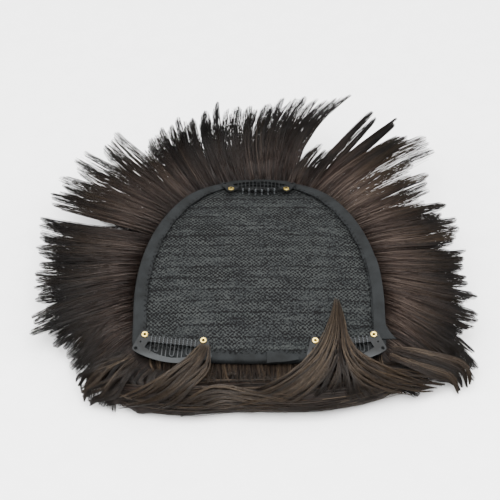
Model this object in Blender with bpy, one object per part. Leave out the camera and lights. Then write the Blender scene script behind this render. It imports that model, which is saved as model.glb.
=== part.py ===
"""A clip-in toupee, lying on its hair with the lining side up.

The lining is a domed net cap bound with tape. Three comb clips with brass eyelets are sewn on it.
The hair is a bed under the cap, with locks that fan out round it and a roll swept across the front.
Metres, +Z up, the front edge of the cap towards -Y. Run: blender --background --python part.py
"""

import math

import bmesh
import bpy
from mathutils import Matrix, Vector

MM = 0.001

# Clearance kept between neighbouring pieces
GAP = 0.3 * MM

# Cap: its plan is a half ellipse at the back, straight sides and a bowed front edge
CAP_WIDTH = 121 * MM
CAP_LENGTH = 118 * MM
CAP_ROUND_END = 88 * MM
FRONT_BOW = 4.5 * MM
CORNER_RADIUS = 7 * MM

# Cap: the highest line of the dome, its bend from front to back, and what its edges drop
CAP_HEIGHT = 30.6 * MM
CAP_BEND_RADIUS = 259 * MM
CREST_FROM_BACK = 33 * MM
BACK_CURL_LENGTH = 23 * MM
BACK_CURL_DROP = 5.5 * MM
SIDE_DROP = 2 * MM

# Cap: rings of its domed faces, as shares of its plan, closer together under the tape
RING_SHARES = (1.0, 0.94, 0.88, 0.66, 0.33)

# Cap: walls of the net and of the tape folded round its rim
NET_WALL = 1.2 * MM
TAPE_WALL = 0.8 * MM
TAPE_WIDTH = 6.5 * MM
FRONT_TAPE_WIDTH = 4.5 * MM
TAPE_UNDERSIDE = 4 * MM

# Loose tape end laid over the binding at the right front corner
TAIL_LENGTH = 46 * MM
TAIL_WIDTH = 5.5 * MM
TAIL_FLARE = 5 * MM
TAIL_WALL = 0.5 * MM

# Short lapped end of the front tape: it tapers towards the right clip and hangs past the edge
TAG_START = 3.5 * MM
TAG_LENGTH = 15 * MM
TAG_WIDTH = 4.2 * MM
TAG_OVERHANG = 1.8 * MM

# Comb clips: one steel stamping each
CLIP_WIDTH = 38 * MM
EYELET_SPACING = 28 * MM
CLIP_DEPTH = 13 * MM
ARCH_BAND = 2.6 * MM
ARCH_RISE = 3.9 * MM
CROSSBAR_WIDTH = 3.4 * MM
WINDOW_SPLAY = 1.2 * MM
CLIP_WALL = 0.5 * MM
TAB_MARGIN = 0.8 * MM
CORNER_HOLE = 0.9 * MM
TAB_HOLE = 0.5 * MM
TOOTH_WIDTH = 0.45 * MM
TOOTH_WALL = 0.5 * MM
TOOTH_PITCH = 1.9 * MM
TOOTH_RISE = 0.9 * MM
TOOTH_PATTERN = "I U I I U I I U I"

# Eyelets
EYELET_RADIUS = 1.55 * MM
EYELET_BORE = 0.5 * MM
EYELET_BARREL = 0.9 * MM
EYELET_FLANGE = 0.5 * MM

# Where each clip sits: the middle of its eyelet line in from the cap's side, and the line's
# distance from the cap's front edge, or from its back edge. The toe-in is in degrees.
FRONT_CLIP_INSET = 20.1 * MM
FRONT_CLIP_SET_BACK = 9.5 * MM
FRONT_CLIP_TOE_IN = 6.5
BACK_CLIP_SET_BACK = 15.5 * MM
BACK_CLIP_BOW = 2.4 * MM

# Hair: how far and high it reaches, and the size of its locks
HAIR_REACH = 128 * MM
HAIR_LIFT = 44 * MM
LOCK_WIDTH = 20 * MM
LOCK_THICKNESS = 9 * MM
WEB_THICKNESS = 5 * MM
BED_OVERHANG = 7 * MM
ROOT_DEPTH = 8 * MM
LOCK_SIDES = 6

# How a lock leaves the cap, as shares of its length and of its rise: it runs level, then climbs
LOCK_LEVEL = 0.35
LOCK_BEND = 0.4
LOCK_CLIMB = 0.55

# Widths of a lock along its length, as shares
LOCK_TAPER = [
    dict(along=0.0, width=0.80),
    dict(along=0.35, width=1.00),
    dict(along=0.65, width=1.00),
    dict(along=0.88, width=0.62),
    dict(along=1.0, width=0.10),
]

# Locks of the fan, anticlockwise from the front right. tip and root are bearings in degrees about
# the cap's middle. reach is a share of HAIR_REACH, lift of HAIR_LIFT and width of LOCK_WIDTH.
# curl bends the lock sideways and web is how far it is joined to the next, as shares of its length.
FAN_LOCKS = [
    dict(tip=-39, root=-42, reach=0.80, lift=0.08, width=1.00, curl=0.00, web=0.92),
    dict(tip=-33, root=-29, reach=0.92, lift=0.06, width=0.80, curl=0.10, web=0.86),
    dict(tip=-30, root=-24, reach=0.93, lift=0.14, width=0.70, curl=0.08, web=0.84),
    dict(tip=-27, root=-20, reach=0.89, lift=0.24, width=0.70, curl=0.03, web=0.86),
    dict(tip=-22, root=-17, reach=0.87, lift=0.32, width=0.70, curl=0.02, web=0.90),
    dict(tip=-17, root=-13, reach=0.90, lift=0.36, width=0.75, curl=0.00, web=0.88),
    dict(tip=-11, root=-9, reach=0.87, lift=0.41, width=0.75, curl=0.00, web=0.90),
    dict(tip=-5, root=-4, reach=0.83, lift=0.43, width=0.80, curl=0.00, web=0.92),
    dict(tip=1, root=2, reach=0.83, lift=0.45, width=0.70, curl=0.00, web=0.90),
    dict(tip=4, root=5, reach=0.83, lift=0.48, width=0.70, curl=0.00, web=0.78),
    dict(tip=14, root=17, reach=0.85, lift=0.54, width=0.85, curl=0.03, web=0.76),
    dict(tip=21, root=25, reach=0.83, lift=0.57, width=0.80, curl=0.05, web=0.92),
    dict(tip=31, root=35, reach=0.84, lift=0.64, width=0.85, curl=0.05, web=0.88),
    dict(tip=41, root=49, reach=0.94, lift=0.72, width=1.00, curl=0.03, web=0.72),
    dict(tip=51, root=65, reach=0.88, lift=0.87, width=0.22, curl=-0.03, web=0.40),
    dict(tip=57, root=67, reach=0.85, lift=0.91, width=0.60, curl=0.00, web=0.36),
    dict(tip=65, root=73, reach=0.91, lift=1.00, width=0.45, curl=0.15, web=0.50),
    dict(tip=74, root=79, reach=0.88, lift=0.99, width=0.80, curl=0.10, web=0.84),
    dict(tip=84, root=86, reach=0.83, lift=0.96, width=0.90, curl=0.06, web=0.92),
    dict(tip=93, root=93, reach=0.79, lift=0.93, width=0.90, curl=0.04, web=0.90),
    dict(tip=103, root=102, reach=0.80, lift=0.93, width=0.60, curl=0.00, web=0.84),
    dict(tip=108, root=109, reach=0.80, lift=0.86, width=0.65, curl=0.00, web=0.88),
    dict(tip=115, root=116, reach=0.81, lift=0.79, width=0.60, curl=0.00, web=0.86),
    dict(tip=121, root=123, reach=0.80, lift=0.74, width=0.70, curl=0.00, web=0.86),
    dict(tip=132, root=131, reach=0.96, lift=0.69, width=0.90, curl=0.00, web=0.84),
    dict(tip=142, root=139, reach=0.98, lift=0.60, width=0.90, curl=0.00, web=0.84),
    dict(tip=151, root=147, reach=0.96, lift=0.54, width=0.85, curl=0.00, web=0.84),
    dict(tip=156, root=153, reach=0.94, lift=0.50, width=0.45, curl=-0.02, web=0.70),
    dict(tip=165, root=165, reach=0.93, lift=0.46, width=0.80, curl=0.00, web=0.84),
    dict(tip=172, root=171, reach=0.90, lift=0.44, width=0.80, curl=0.00, web=0.94),
    dict(tip=180, root=179, reach=0.88, lift=0.41, width=0.85, curl=0.00, web=0.94),
    dict(tip=188, root=186, reach=0.88, lift=0.37, width=0.75, curl=0.00, web=0.90),
    dict(tip=197, root=193, reach=0.93, lift=0.29, width=0.75, curl=0.05, web=0.82),
    dict(tip=202, root=199, reach=0.88, lift=0.19, width=0.90, curl=0.00, web=0.88),
    dict(tip=210, root=206, reach=0.84, lift=0.12, width=1.00, curl=0.00, web=0.94),
    dict(tip=218, root=213, reach=0.85, lift=0.10, width=1.00, curl=0.00, web=0.94),
    dict(tip=227, root=221, reach=0.87, lift=0.10, width=1.00, curl=0.00, web=0.92),
    dict(tip=236, root=228, reach=0.78, lift=0.10, width=1.00, curl=0.00, web=0.90),
]

# Lower locks that droop to the table and carry the fan: first and last bearing, and their step
LOWER_FIRST = -30
LOWER_LAST = 210
LOWER_STEP = 24
LOWER_REACH = 0.72
LOWER_WAVE = 0.04
LOWER_WIDTH = 1.7
LOWER_TIP_HEIGHT = 3 * MM

# Roll swept across the front, left to right. across and ahead are shares of half CAP_WIDTH and of
# half CAP_LENGTH, width and height are shares of the two roll sizes.
ROLL_WIDTH = 20 * MM
ROLL_HEIGHT = 14 * MM
ROLL_SECTIONS = [
    dict(across=-1.20, ahead=1.06, width=0.60, height=0.55),
    dict(across=-0.95, ahead=1.19, width=0.95, height=0.80),
    dict(across=-0.60, ahead=1.22, width=1.05, height=0.95),
    dict(across=-0.15, ahead=1.20, width=1.00, height=0.95),
    dict(across=0.35, ahead=1.20, width=1.05, height=1.05),
    dict(across=0.75, ahead=1.13, width=1.05, height=1.00),
    dict(across=1.10, ahead=1.00, width=0.95, height=0.80),
    dict(across=1.40, ahead=0.90, width=0.45, height=0.45),
]
ROLL_FULLNESS = 1.15
ROLL_SIDES = 10

# Locks that rise out of the roll and lie over the front clips, root to tip, with the same columns.
# rise is a share of CAP_HEIGHT.
STRAY_WIDTH = 12 * MM
STRAY_THICKNESS = 5 * MM
STRAY_LOCKS = {
    "left": [
        dict(across=-1.05, ahead=1.22, rise=0.30, width=1.0),
        dict(across=-0.76, ahead=1.22, rise=0.50, width=1.0),
        dict(across=-0.56, ahead=1.09, rise=0.76, width=0.7),
        dict(across=-0.43, ahead=0.96, rise=0.90, width=0.2),
    ],
    "right_inner": [
        dict(across=-0.10, ahead=1.26, rise=0.34, width=0.9),
        dict(across=0.24, ahead=1.24, rise=0.50, width=1.2),
        dict(across=0.44, ahead=1.15, rise=0.68, width=1.1),
        dict(across=0.56, ahead=0.96, rise=0.94, width=0.75),
        dict(across=0.61, ahead=0.74, rise=1.04, width=0.45),
        dict(across=0.63, ahead=0.54, rise=1.06, width=0.2),
    ],
    "right_outer": [
        dict(across=1.18, ahead=1.04, rise=0.25, width=1.2),
        dict(across=0.94, ahead=1.12, rise=0.50, width=1.3),
        dict(across=0.71, ahead=1.00, rise=0.88, width=0.6),
        dict(across=0.655, ahead=0.80, rise=1.03, width=0.4),
        dict(across=0.645, ahead=0.62, rise=1.06, width=0.2),
    ],
}

# Sections drawn between two rows of the front locks
FRONT_STEPS = 2

# Space cut free for clips that overhang the front edge
CLIP_OVERHANG = 2.5 * MM


# Scene, materials and mesh helpers


def clear_scene():
    """Remove every object of the open file."""
    for item in list(bpy.data.objects):
        bpy.data.objects.remove(item, do_unlink=True)


def material(name, colour, roughness, metallic=0.0):
    """Return a Principled material with the given linear colour."""
    made = bpy.data.materials.new(name)
    made.use_nodes = True
    shader = made.node_tree.nodes["Principled BSDF"]
    shader.inputs["Base Color"].default_value = (*colour, 1.0)
    shader.inputs["Roughness"].default_value = roughness
    shader.inputs["Metallic"].default_value = metallic
    made.diffuse_color = (*colour, 1.0)
    return made


def add_object(name, mesh, finish=None):
    """Link a new object that shows the mesh."""
    item = bpy.data.objects.new(name, mesh)
    bpy.context.scene.collection.objects.link(item)
    if finish:
        mesh.materials.clear()
        mesh.materials.append(finish)
    return item


def mesh_from(bm, name):
    """Turn a bmesh into a mesh whose faces point outwards, and free it."""
    bmesh.ops.remove_doubles(bm, verts=bm.verts, dist=1e-7)
    bmesh.ops.recalc_face_normals(bm, faces=bm.faces)
    mesh = bpy.data.meshes.new(name)
    bm.to_mesh(mesh)
    bm.free()
    return mesh


def loft(rings, name, closed=False):
    """Skin a list of rings of points. The ends are capped, or joined when closed is set."""
    bm = bmesh.new()
    loops = [[bm.verts.new(point) for point in ring] for ring in rings]
    pairs = list(zip(loops, loops[1:]))
    if closed:
        pairs.append((loops[-1], loops[0]))
    for one, other in pairs:
        for i in range(len(one)):
            j = (i + 1) % len(one)
            bm.faces.new((one[i], one[j], other[j], other[i]))
    if not closed:
        bm.faces.new(loops[0])
        bm.faces.new(loops[-1])
    return mesh_from(bm, name)


def evaluated(item, name):
    """Return the item's mesh with its modifiers applied, and remove the item."""
    graph = bpy.context.evaluated_depsgraph_get()
    mesh = bpy.data.meshes.new_from_object(item.evaluated_get(graph))
    mesh.name = name
    bpy.data.objects.remove(item, do_unlink=True)
    return mesh


def combine(target, tools, operation):
    """Join the tools to the target, or cut them from it, and return the target."""
    group = bpy.data.collections.new("tools")
    bpy.context.scene.collection.children.link(group)
    for tool in tools:
        group.objects.link(tool)
    step = target.modifiers.new(operation.lower(), "BOOLEAN")
    step.operation = operation
    step.operand_type = "COLLECTION"
    step.collection = group
    step.solver = "EXACT"
    made = add_object(target.name, evaluated(target, target.name))
    for tool in tools:
        bpy.data.objects.remove(tool, do_unlink=True)
    bpy.data.collections.remove(group)
    return made


def shade(mesh, angle=35):
    """Smooth the mesh, but keep edges sharper than the angle in degrees."""
    mesh.shade_smooth()
    mesh.set_sharp_from_angle(angle=math.radians(angle))


# The cap's surface and plan


def cap_surface(x, y):
    """Height of the net's upper face over a point of the plan."""
    crest = CAP_LENGTH / 2 - CREST_FROM_BACK
    height = CAP_HEIGHT - (y - crest) ** 2 / (2 * CAP_BEND_RADIUS)
    past = max(0.0, y - (CAP_LENGTH / 2 - BACK_CURL_LENGTH))
    height -= BACK_CURL_DROP * (past / BACK_CURL_LENGTH) ** 2
    return height - SIDE_DROP * (2 * x / CAP_WIDTH) ** 2


def front_edge(x):
    """Y of the bowed front edge at a distance across the cap."""
    return -CAP_LENGTH / 2 + FRONT_BOW * (2 * x / CAP_WIDTH) ** 2


def corner_arc(side, half, low, radius, count):
    """Rounded front corner on one side, from the cap's side to its front edge."""
    arc = []
    for i in range(count):
        turn = math.radians(90 * (i + 0.5) / count)
        x = half - radius + radius * math.cos(turn)
        y = low + radius - radius * math.sin(turn)
        arc.append((side * x, y))
    return arc


def cap_plan(offset=0.0, back=22, sides=3, corner=2, front=8):
    """Plan outline, anticlockwise from the right, moved outwards by the offset."""
    half = CAP_WIDTH / 2 + offset
    length = CAP_ROUND_END + offset
    middle = CAP_LENGTH / 2 - CAP_ROUND_END
    radius = CORNER_RADIUS + offset
    low = front_edge(CAP_WIDTH / 2) - offset
    points = []
    for i in range(back + 1):
        turn = math.pi * i / back
        points.append((half * math.cos(turn), middle + length * math.sin(turn)))
    for i in range(1, sides):
        y = middle + (low + radius - middle) * i / sides
        points.append((-half, y))
    points += corner_arc(-1, half, low, radius, corner)
    reach = half - radius
    for i in range(front + 1):
        x = -reach + 2 * reach * i / front
        points.append((x, front_edge(x) - offset))
    points += reversed(corner_arc(1, half, low, radius, corner))
    for i in range(sides - 1, 0, -1):
        y = middle + (low + radius - middle) * i / sides
        points.append((half, y))
    return points


def inward(points, i):
    """Unit vector at point i of a closed outline, across it and into it."""
    before = Vector(points[i - 1])
    after = Vector(points[(i + 1) % len(points)])
    along = (after - before).normalized()
    return Vector((-along.y, along.x))


def rim_point(bearing):
    """Point of the cap's rim that lies at a bearing, in degrees, from the cap's middle."""
    ray = Vector((math.cos(math.radians(bearing)), math.sin(math.radians(bearing))))
    plan = [Vector(p) for p in cap_plan()]
    best = max(plan, key=lambda p: p.normalized().dot(ray))
    i = plan.index(best)
    for other in (plan[i - 1], plan[(i + 1) % len(plan)]):
        edge = other - best
        across = edge.x * ray.y - edge.y * ray.x
        if abs(across) > 1e-12:
            share = (best.y * ray.x - best.x * ray.y) / across
            if 0 <= share <= 1:
                return best + edge * share
    return best


# Cap pieces


def domed_slab(name, offset, top, bottom, inner_shares=RING_SHARES, **plan):
    """Slab with the cap's plan, between two heights given as functions of the plan point."""
    outline = cap_plan(offset, **plan)
    bm = bmesh.new()
    layers = []
    for height, shares in ((bottom, inner_shares[::-1]), (top, inner_shares)):
        for share in shares:
            ring = [(x * share, y * share) for x, y in outline]
            layers.append([bm.verts.new((x, y, height(x, y))) for x, y in ring])
    for one, other in zip(layers, layers[1:]):
        for i in range(len(one)):
            j = (i + 1) % len(one)
            bm.faces.new((one[i], one[j], other[j], other[i]))
    for layer, height in ((layers[0], bottom), (layers[-1], top)):
        middle = bm.verts.new((0, 0, height(0, 0)))
        for i in range(len(layer)):
            bm.faces.new((middle, layer[i], layer[(i + 1) % len(layer)]))
    return mesh_from(bm, name)


def make_net(finish):
    """Net cap: a domed wall that ends inside the fold of the binding."""
    mesh = domed_slab(
        "cap_net",
        -(TAPE_WALL + GAP),
        cap_surface,
        lambda x, y: cap_surface(x, y) - NET_WALL,
    )
    shade(mesh)
    return add_object("cap_net", mesh, finish)


def binding_profile(width):
    """Section of the folded tape: distance in from the rim, and height over the net's face."""
    top = GAP + TAPE_WALL
    low = -(NET_WALL + GAP)
    under = low - TAPE_WALL
    fold = TAPE_WALL / 2
    return [
        (width, GAP),
        (width, top),
        (fold, top),
        (0.0, top - fold),
        (0.0, under + fold),
        (fold, under),
        (TAPE_UNDERSIDE, under),
        (TAPE_UNDERSIDE, low),
        (TAPE_WALL, low),
        (TAPE_WALL, GAP),
    ]


def make_binding(finish):
    """Tape folded round the whole rim, narrower along the front edge."""
    outline = cap_plan()
    front_line = front_edge(CAP_WIDTH / 2)
    rings = []
    for i, (x, y) in enumerate(outline):
        width = FRONT_TAPE_WIDTH if y < front_line + GAP else TAPE_WIDTH
        across = inward(outline, i)
        ring = []
        for depth, height in binding_profile(width):
            px = x + across.x * depth
            py = y + across.y * depth
            ring.append((px, py, cap_surface(px, py) + height))
        rings.append(ring)
    mesh = loft(rings, "edge_binding", closed=True)
    shade(mesh)
    return add_object("edge_binding", mesh, finish)


def make_tape_tail(finish):
    """Loose end of the side tape: it lies on the binding and flares out at the front corner."""
    half = CAP_WIDTH / 2
    start = front_edge(half) + CORNER_RADIUS + TAIL_LENGTH
    lift = GAP + TAPE_WALL + GAP
    rings = []
    steps = 9
    for i in range(steps + 1):
        share = i / steps
        y = start - TAIL_LENGTH * share
        edge = half - GAP
        if y > CAP_LENGTH / 2 - CAP_ROUND_END:
            rise = (y - (CAP_LENGTH / 2 - CAP_ROUND_END)) / CAP_ROUND_END
            edge *= math.sqrt(1 - rise**2)
        outer = edge + TAIL_FLARE * max(0.0, (share - 0.8) / 0.2) ** 2
        corners = [(edge - TAIL_WIDTH, 0.0), (outer, 0.0)]
        ring = [(x, y, cap_surface(min(x, edge), y) + lift + low) for x, low in corners]
        ring += [(x, y, z + TAIL_WALL) for x, y, z in reversed(ring)]
        rings.append(ring)
    mesh = loft(rings, "tape_tail")
    return add_object("tape_tail", mesh, finish)


def make_tape_tag(finish):
    """Lapped end of the front tape, lying on the binding."""
    lift = GAP + TAPE_WALL + GAP
    rings = []
    steps = 4
    for i in range(steps + 1):
        taper = 1 - 0.7 * i / steps
        x = TAG_START + TAG_LENGTH * i / steps
        edge = front_edge(x)
        corners = [edge - TAG_OVERHANG * taper, edge + TAG_WIDTH * taper]
        ring = [(x, y, cap_surface(x, y) + lift) for y in corners]
        ring += [(px, y, z + TAIL_WALL) for px, y, z in reversed(ring)]
        rings.append(ring)
    return add_object("tape_tag", loft(rings, "tape_tag"), finish)


# Comb clips. A clip is drawn flat: +X along its eyelet line, -Y towards its arch, +Z its face.


def plate(outline, name, low, high):
    """Flat solid with the given outline between two heights."""
    rings = [[(x, y, z) for x, y in outline] for z in (low, high)]
    return add_object(name, loft(rings, name))


def arc_points(centre, radius, first, last, count):
    """Points of an arc, its angles in degrees."""
    made = []
    for i in range(count + 1):
        turn = math.radians(first + (last - first) * i / count)
        made.append((centre[0] + radius * math.cos(turn), centre[1] + radius * math.sin(turn)))
    return made


def bowed_line(x0, x1, y_end, rise, count):
    """Points from x0 to x1 on a bow that hangs below y_end by the rise at its middle."""
    half = abs(x1 - x0) / 2
    made = []
    for i in range(count + 1):
        x = x0 + (x1 - x0) * i / count
        made.append((x, y_end - rise * (1 - (x / half) ** 2)))
    return made


def clip_outline():
    """Outer edge of the stamping: two eyelet tabs that splay out to a bowed back."""
    tab = EYELET_RADIUS + TAB_MARGIN
    eye = EYELET_SPACING / 2
    half = CLIP_WIDTH / 2
    low = -(CLIP_DEPTH - ARCH_RISE)
    corner = CORNER_HOLE + TAB_MARGIN
    right = arc_points((half - corner, low + corner), corner, -75, 15, 3)
    right += arc_points((eye, 0.0), tab, 15, 120, 4)
    bar = [(eye - tab, -TAB_MARGIN), (-eye + tab, -TAB_MARGIN)]
    left = [(-x, y) for x, y in reversed(right)]
    foot = half - corner * (1 - math.cos(math.radians(-75)))
    back = bowed_line(-foot, foot, low, ARCH_RISE, 12)[1:-1]
    return right + bar + left + back


def window_half():
    """Half of the window's width at the crossbar, just inside the eyelet tabs."""
    return EYELET_SPACING / 2 - EYELET_RADIUS - TAB_MARGIN / 2


def window_outline():
    """Inner edge of the stamping, between the crossbar, the tabs and the arch."""
    side = window_half()
    foot = side + WINDOW_SPLAY
    back = bowed_line(-foot, foot, -(CLIP_DEPTH - ARCH_RISE) + ARCH_BAND, ARCH_RISE, 10)
    return [(side, -CROSSBAR_WIDTH), (-side, -CROSSBAR_WIDTH)] + back


def arch_inner(x):
    """Y of the arch's inner edge."""
    foot = window_half() + WINDOW_SPLAY
    low = -(CLIP_DEPTH - ARCH_RISE) + ARCH_BAND
    return low - ARCH_RISE * (1 - (x / foot) ** 2)


def strip(path, name):
    """Tooth: a flat wire of constant section along a path of (x, y, z) points."""
    rings = []
    points = [Vector(p) for p in path]
    for i, point in enumerate(points):
        before = points[max(i - 1, 0)]
        after = points[min(i + 1, len(points) - 1)]
        along = (after - before).normalized()
        across = Vector((along.y, -along.x, 0.0)).normalized() * TOOTH_WIDTH / 2
        up = Vector((0.0, 0.0, TOOTH_WALL / 2))
        under = [point - across - up, point + across - up]
        rings.append(under + [point + across + up, point - across + up])
    return add_object(name, loft(rings, name))


def tooth_height(y):
    """Middle height of a tooth: it climbs from the plate and passes over the crossbar."""
    share = min(1.0, max(0.0, -(y + CROSSBAR_WIDTH) / (CLIP_DEPTH - ARCH_RISE - CROSSBAR_WIDTH)))
    low = CLIP_WALL / 2
    over_bar = CLIP_WALL + TOOTH_WALL / 2 - 0.2 * CLIP_WALL
    return over_bar + (low - over_bar) * share + TOOTH_RISE * math.sin(math.pi * share)


def make_teeth():
    """Straight teeth joined to the arch, and U shaped ones that hang from the crossbar."""
    pattern = TOOTH_PATTERN.split()
    arms = sum(2 if mark == "U" else 1 for mark in pattern)
    x = -TOOTH_PITCH * (arms - 1) / 2
    top = -TAB_MARGIN - TOOTH_WIDTH / 2
    teeth = []
    for mark in pattern:
        if mark == "I":
            foot = arch_inner(x) - ARCH_BAND / 3
            ys = [top, -CROSSBAR_WIDTH, (foot - CROSSBAR_WIDTH) / 2, foot]
            teeth.append(strip([(x, y, tooth_height(y)) for y in ys], "tooth"))
            x += TOOTH_PITCH
            continue
        middle = x + TOOTH_PITCH / 2
        radius = TOOTH_PITCH / 2
        bend = arch_inner(middle) + radius + TOOTH_WIDTH + GAP
        flat = [(x, top), (x, -CROSSBAR_WIDTH)]
        flat += arc_points((middle, bend), radius, 180, 360, 6)
        flat += [(x + TOOTH_PITCH, -CROSSBAR_WIDTH), (x + TOOTH_PITCH, top)]
        teeth.append(strip([(px, py, tooth_height(py)) for px, py in flat], "tooth"))
        x += 2 * TOOTH_PITCH
    return teeth


def clip_mesh(bow=0.0):
    """The whole stamping with its window, teeth and holes, its comb bowed off the eyelet line."""
    body = plate(clip_outline(), "clip", 0.0, CLIP_WALL)
    low = -CLIP_WALL
    high = 2 * CLIP_WALL
    cutters = [plate(window_outline(), "window", low, high)]
    splay = (CLIP_WIDTH - EYELET_SPACING) / 2
    corner = CORNER_HOLE + TAB_MARGIN
    corner_y = -(CLIP_DEPTH - ARCH_RISE) + corner
    for side in (-1, 1):
        eye = side * EYELET_SPACING / 2
        holes = [
            (eye, 0.0, EYELET_BARREL + GAP, 10),
            (eye + side * 0.3 * splay, 0.45 * corner_y - TAB_HOLE, TAB_HOLE, 6),
            (side * (CLIP_WIDTH / 2 - corner), corner_y, CORNER_HOLE, 8),
        ]
        for x, y, radius, count in holes:
            ring = arc_points((x, y), radius, 0, 360 - 360 / count, count - 1)
            cutters.append(plate(ring, "hole", low, high))
    body = combine(body, cutters, "DIFFERENCE")
    body = combine(body, make_teeth(), "UNION")
    mesh = evaluated(body, "clip")
    side = EYELET_SPACING / 2 - EYELET_RADIUS
    for vertex in mesh.vertices:
        if abs(vertex.co.x) < side:
            reach = min(1.0, max(0.0, 1 + (vertex.co.y + CROSSBAR_WIDTH) / ARCH_RISE))
            vertex.co.y += bow * reach * (1 - (vertex.co.x / side) ** 2)
    shade(mesh)
    return mesh


def eyelet_mesh():
    """Turned eyelet: a barrel through the tab and a rounded flange on its face."""
    face = CLIP_WALL + GAP / 3
    top = face + EYELET_FLANGE
    half = EYELET_FLANGE / 2
    profile = [
        (EYELET_BORE, 0.0),
        (EYELET_BARREL, 0.0),
        (EYELET_BARREL, face),
        (EYELET_RADIUS, face),
        (EYELET_RADIUS - half / 2, top),
        (EYELET_BORE + half, top),
        (EYELET_BORE, face + half),
    ]
    count = 12
    rings = []
    for i in range(count):
        turn = 2 * math.pi * i / count
        rings.append([(r * math.cos(turn), r * math.sin(turn), z) for r, z in profile])
    mesh = loft(rings, "eyelet", closed=True)
    shade(mesh)
    return mesh


def seat_height(mesh, place):
    """Distance to lift a clip along its own normal so that it clears the cap and its tape."""
    normal = place.to_3x3() @ Vector((0.0, 0.0, 1.0))
    cover = 2 * GAP + TAPE_WALL
    tail = TAIL_WALL + GAP
    need = 0.0
    for vertex in mesh.vertices:
        point = place @ vertex.co
        over = cap_surface(point.x, point.y) + cover - point.z
        if point.x > CAP_WIDTH / 2 - TAIL_WIDTH - GAP:
            over += tail
        need = max(need, over / normal.z)
    return need


def clip_place(x, y, turn):
    """Placement of a clip whose eyelet line is centred over a plan point, turned about +Z."""
    heading = Matrix.Rotation(math.radians(turn), 4, "Z")
    reach = CLIP_DEPTH if abs(turn) < 90 else -CLIP_DEPTH
    slope = (cap_surface(x, y) - cap_surface(x, y - reach)) / reach
    lean = Matrix.Rotation(math.atan(slope), 4, "X")
    return Matrix.Translation((x, y, cap_surface(x, y))) @ lean @ heading


def make_clips(steel, brass):
    """Three clips and their eyelets. The back clip's arch faces the back edge."""
    across = CAP_WIDTH / 2 - FRONT_CLIP_INSET
    front = front_edge(across) + FRONT_CLIP_SET_BACK
    back = CAP_LENGTH / 2 - BACK_CLIP_SET_BACK
    places = {
        "front_clip_left": (-across, front, -FRONT_CLIP_TOE_IN),
        "front_clip_right": (across, front, FRONT_CLIP_TOE_IN),
        "crown_clip": (0.0, back, 180.0),
    }
    flat = clip_mesh()
    bowed = clip_mesh(BACK_CLIP_BOW)
    turned = eyelet_mesh()
    for mesh, finish in ((flat, steel), (bowed, steel), (turned, brass)):
        mesh.materials.append(finish)
    for name, (x, y, turn) in places.items():
        stamping = bowed if name == "crown_clip" else flat
        place = clip_place(x, y, turn)
        place = place @ Matrix.Translation((0.0, 0.0, seat_height(stamping, place)))
        item = add_object(name, stamping)
        item.matrix_world = place
        for label, side in (("a", -1), ("b", 1)):
            eyelet = add_object(f"{name}_eyelet_{label}", turned)
            eyelet.matrix_world = place @ Matrix.Translation((side * EYELET_SPACING / 2, 0.0, 0.0))


# Hair


def bezier(controls, share):
    """Point of a cubic curve through its four control points."""
    a, b, c, d = controls
    rest = 1 - share
    return a * rest**3 + b * 3 * rest**2 * share + c * 3 * rest * share**2 + d * share**3


def smooth_path(points, steps):
    """Catmull-Rom points through a list of vectors."""
    ends = [points[0] * 2 - points[1]] + points + [points[-1] * 2 - points[-2]]
    made = []
    for i in range(len(points) - 1):
        a, b, c, d = ends[i : i + 4]
        for k in range(steps):
            t = k / steps
            bend = (2 * a - 5 * b + 4 * c - d) * t**2 + (3 * b - a - 3 * c + d) * t**3
            made.append(0.5 * (2 * b + (c - a) * t + bend))
    made.append(points[-1].copy())
    return made


def lock_solid(path, widths, thicknesses, sides, name="lock"):
    """Tapered lock of lens section along a path."""
    rings = []
    for i, point in enumerate(path):
        before = path[max(i - 1, 0)]
        after = path[min(i + 1, len(path) - 1)]
        along = (after - before).normalized()
        across = along.cross(Vector((0.0, 0.0, 1.0))).normalized()
        up = across.cross(along).normalized()
        ring = []
        for k in range(sides):
            turn = 2 * math.pi * k / sides
            out = across * (widths[i] / 2 * math.cos(turn))
            ring.append(point + out + up * (thicknesses[i] / 2 * math.sin(turn)))
        rings.append(ring)
    return add_object(name, loft(rings, name))


def lock_curve(tip, root, reach, tip_height, curl, thickness):
    """Control points of a lock that starts in the bed and leaves the cap's rim square to it."""
    rim = rim_point(root)
    out = Vector((*rim.normalized(), 0.0))
    low = bed_top(rim.x, rim.y) - thickness / 2
    turn = math.radians(tip)
    end = Vector((math.cos(turn) * reach, math.sin(turn) * reach, tip_height))
    start = Vector((rim.x, rim.y, low - thickness / 4)) - out * ROOT_DEPTH
    span = (end - start).length
    side = Vector((-out.y, out.x, 0.0)) * span * curl
    leave = start + out * span * LOCK_LEVEL + side
    leave.z = low
    arrive = end.lerp(leave, LOCK_BEND) + side
    arrive.z = leave.z + (end.z - leave.z) * LOCK_CLIMB
    return start, leave, arrive, end


def row_curve(row, thickness=LOCK_THICKNESS):
    """Control points of a lock of the table."""
    reach = row["reach"] * HAIR_REACH
    height = row["lift"] * HAIR_LIFT
    return lock_curve(row["tip"], row["root"], reach, height, row["curl"], thickness)


def fan_lock(controls, width, thickness):
    """Tapered lock along a curve."""
    path = [bezier(controls, step["along"]) for step in LOCK_TAPER]
    widths = [width * step["width"] for step in LOCK_TAPER]
    thicknesses = [thickness * step["width"] for step in LOCK_TAPER]
    return lock_solid(path, widths, thicknesses, LOCK_SIDES)


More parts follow.
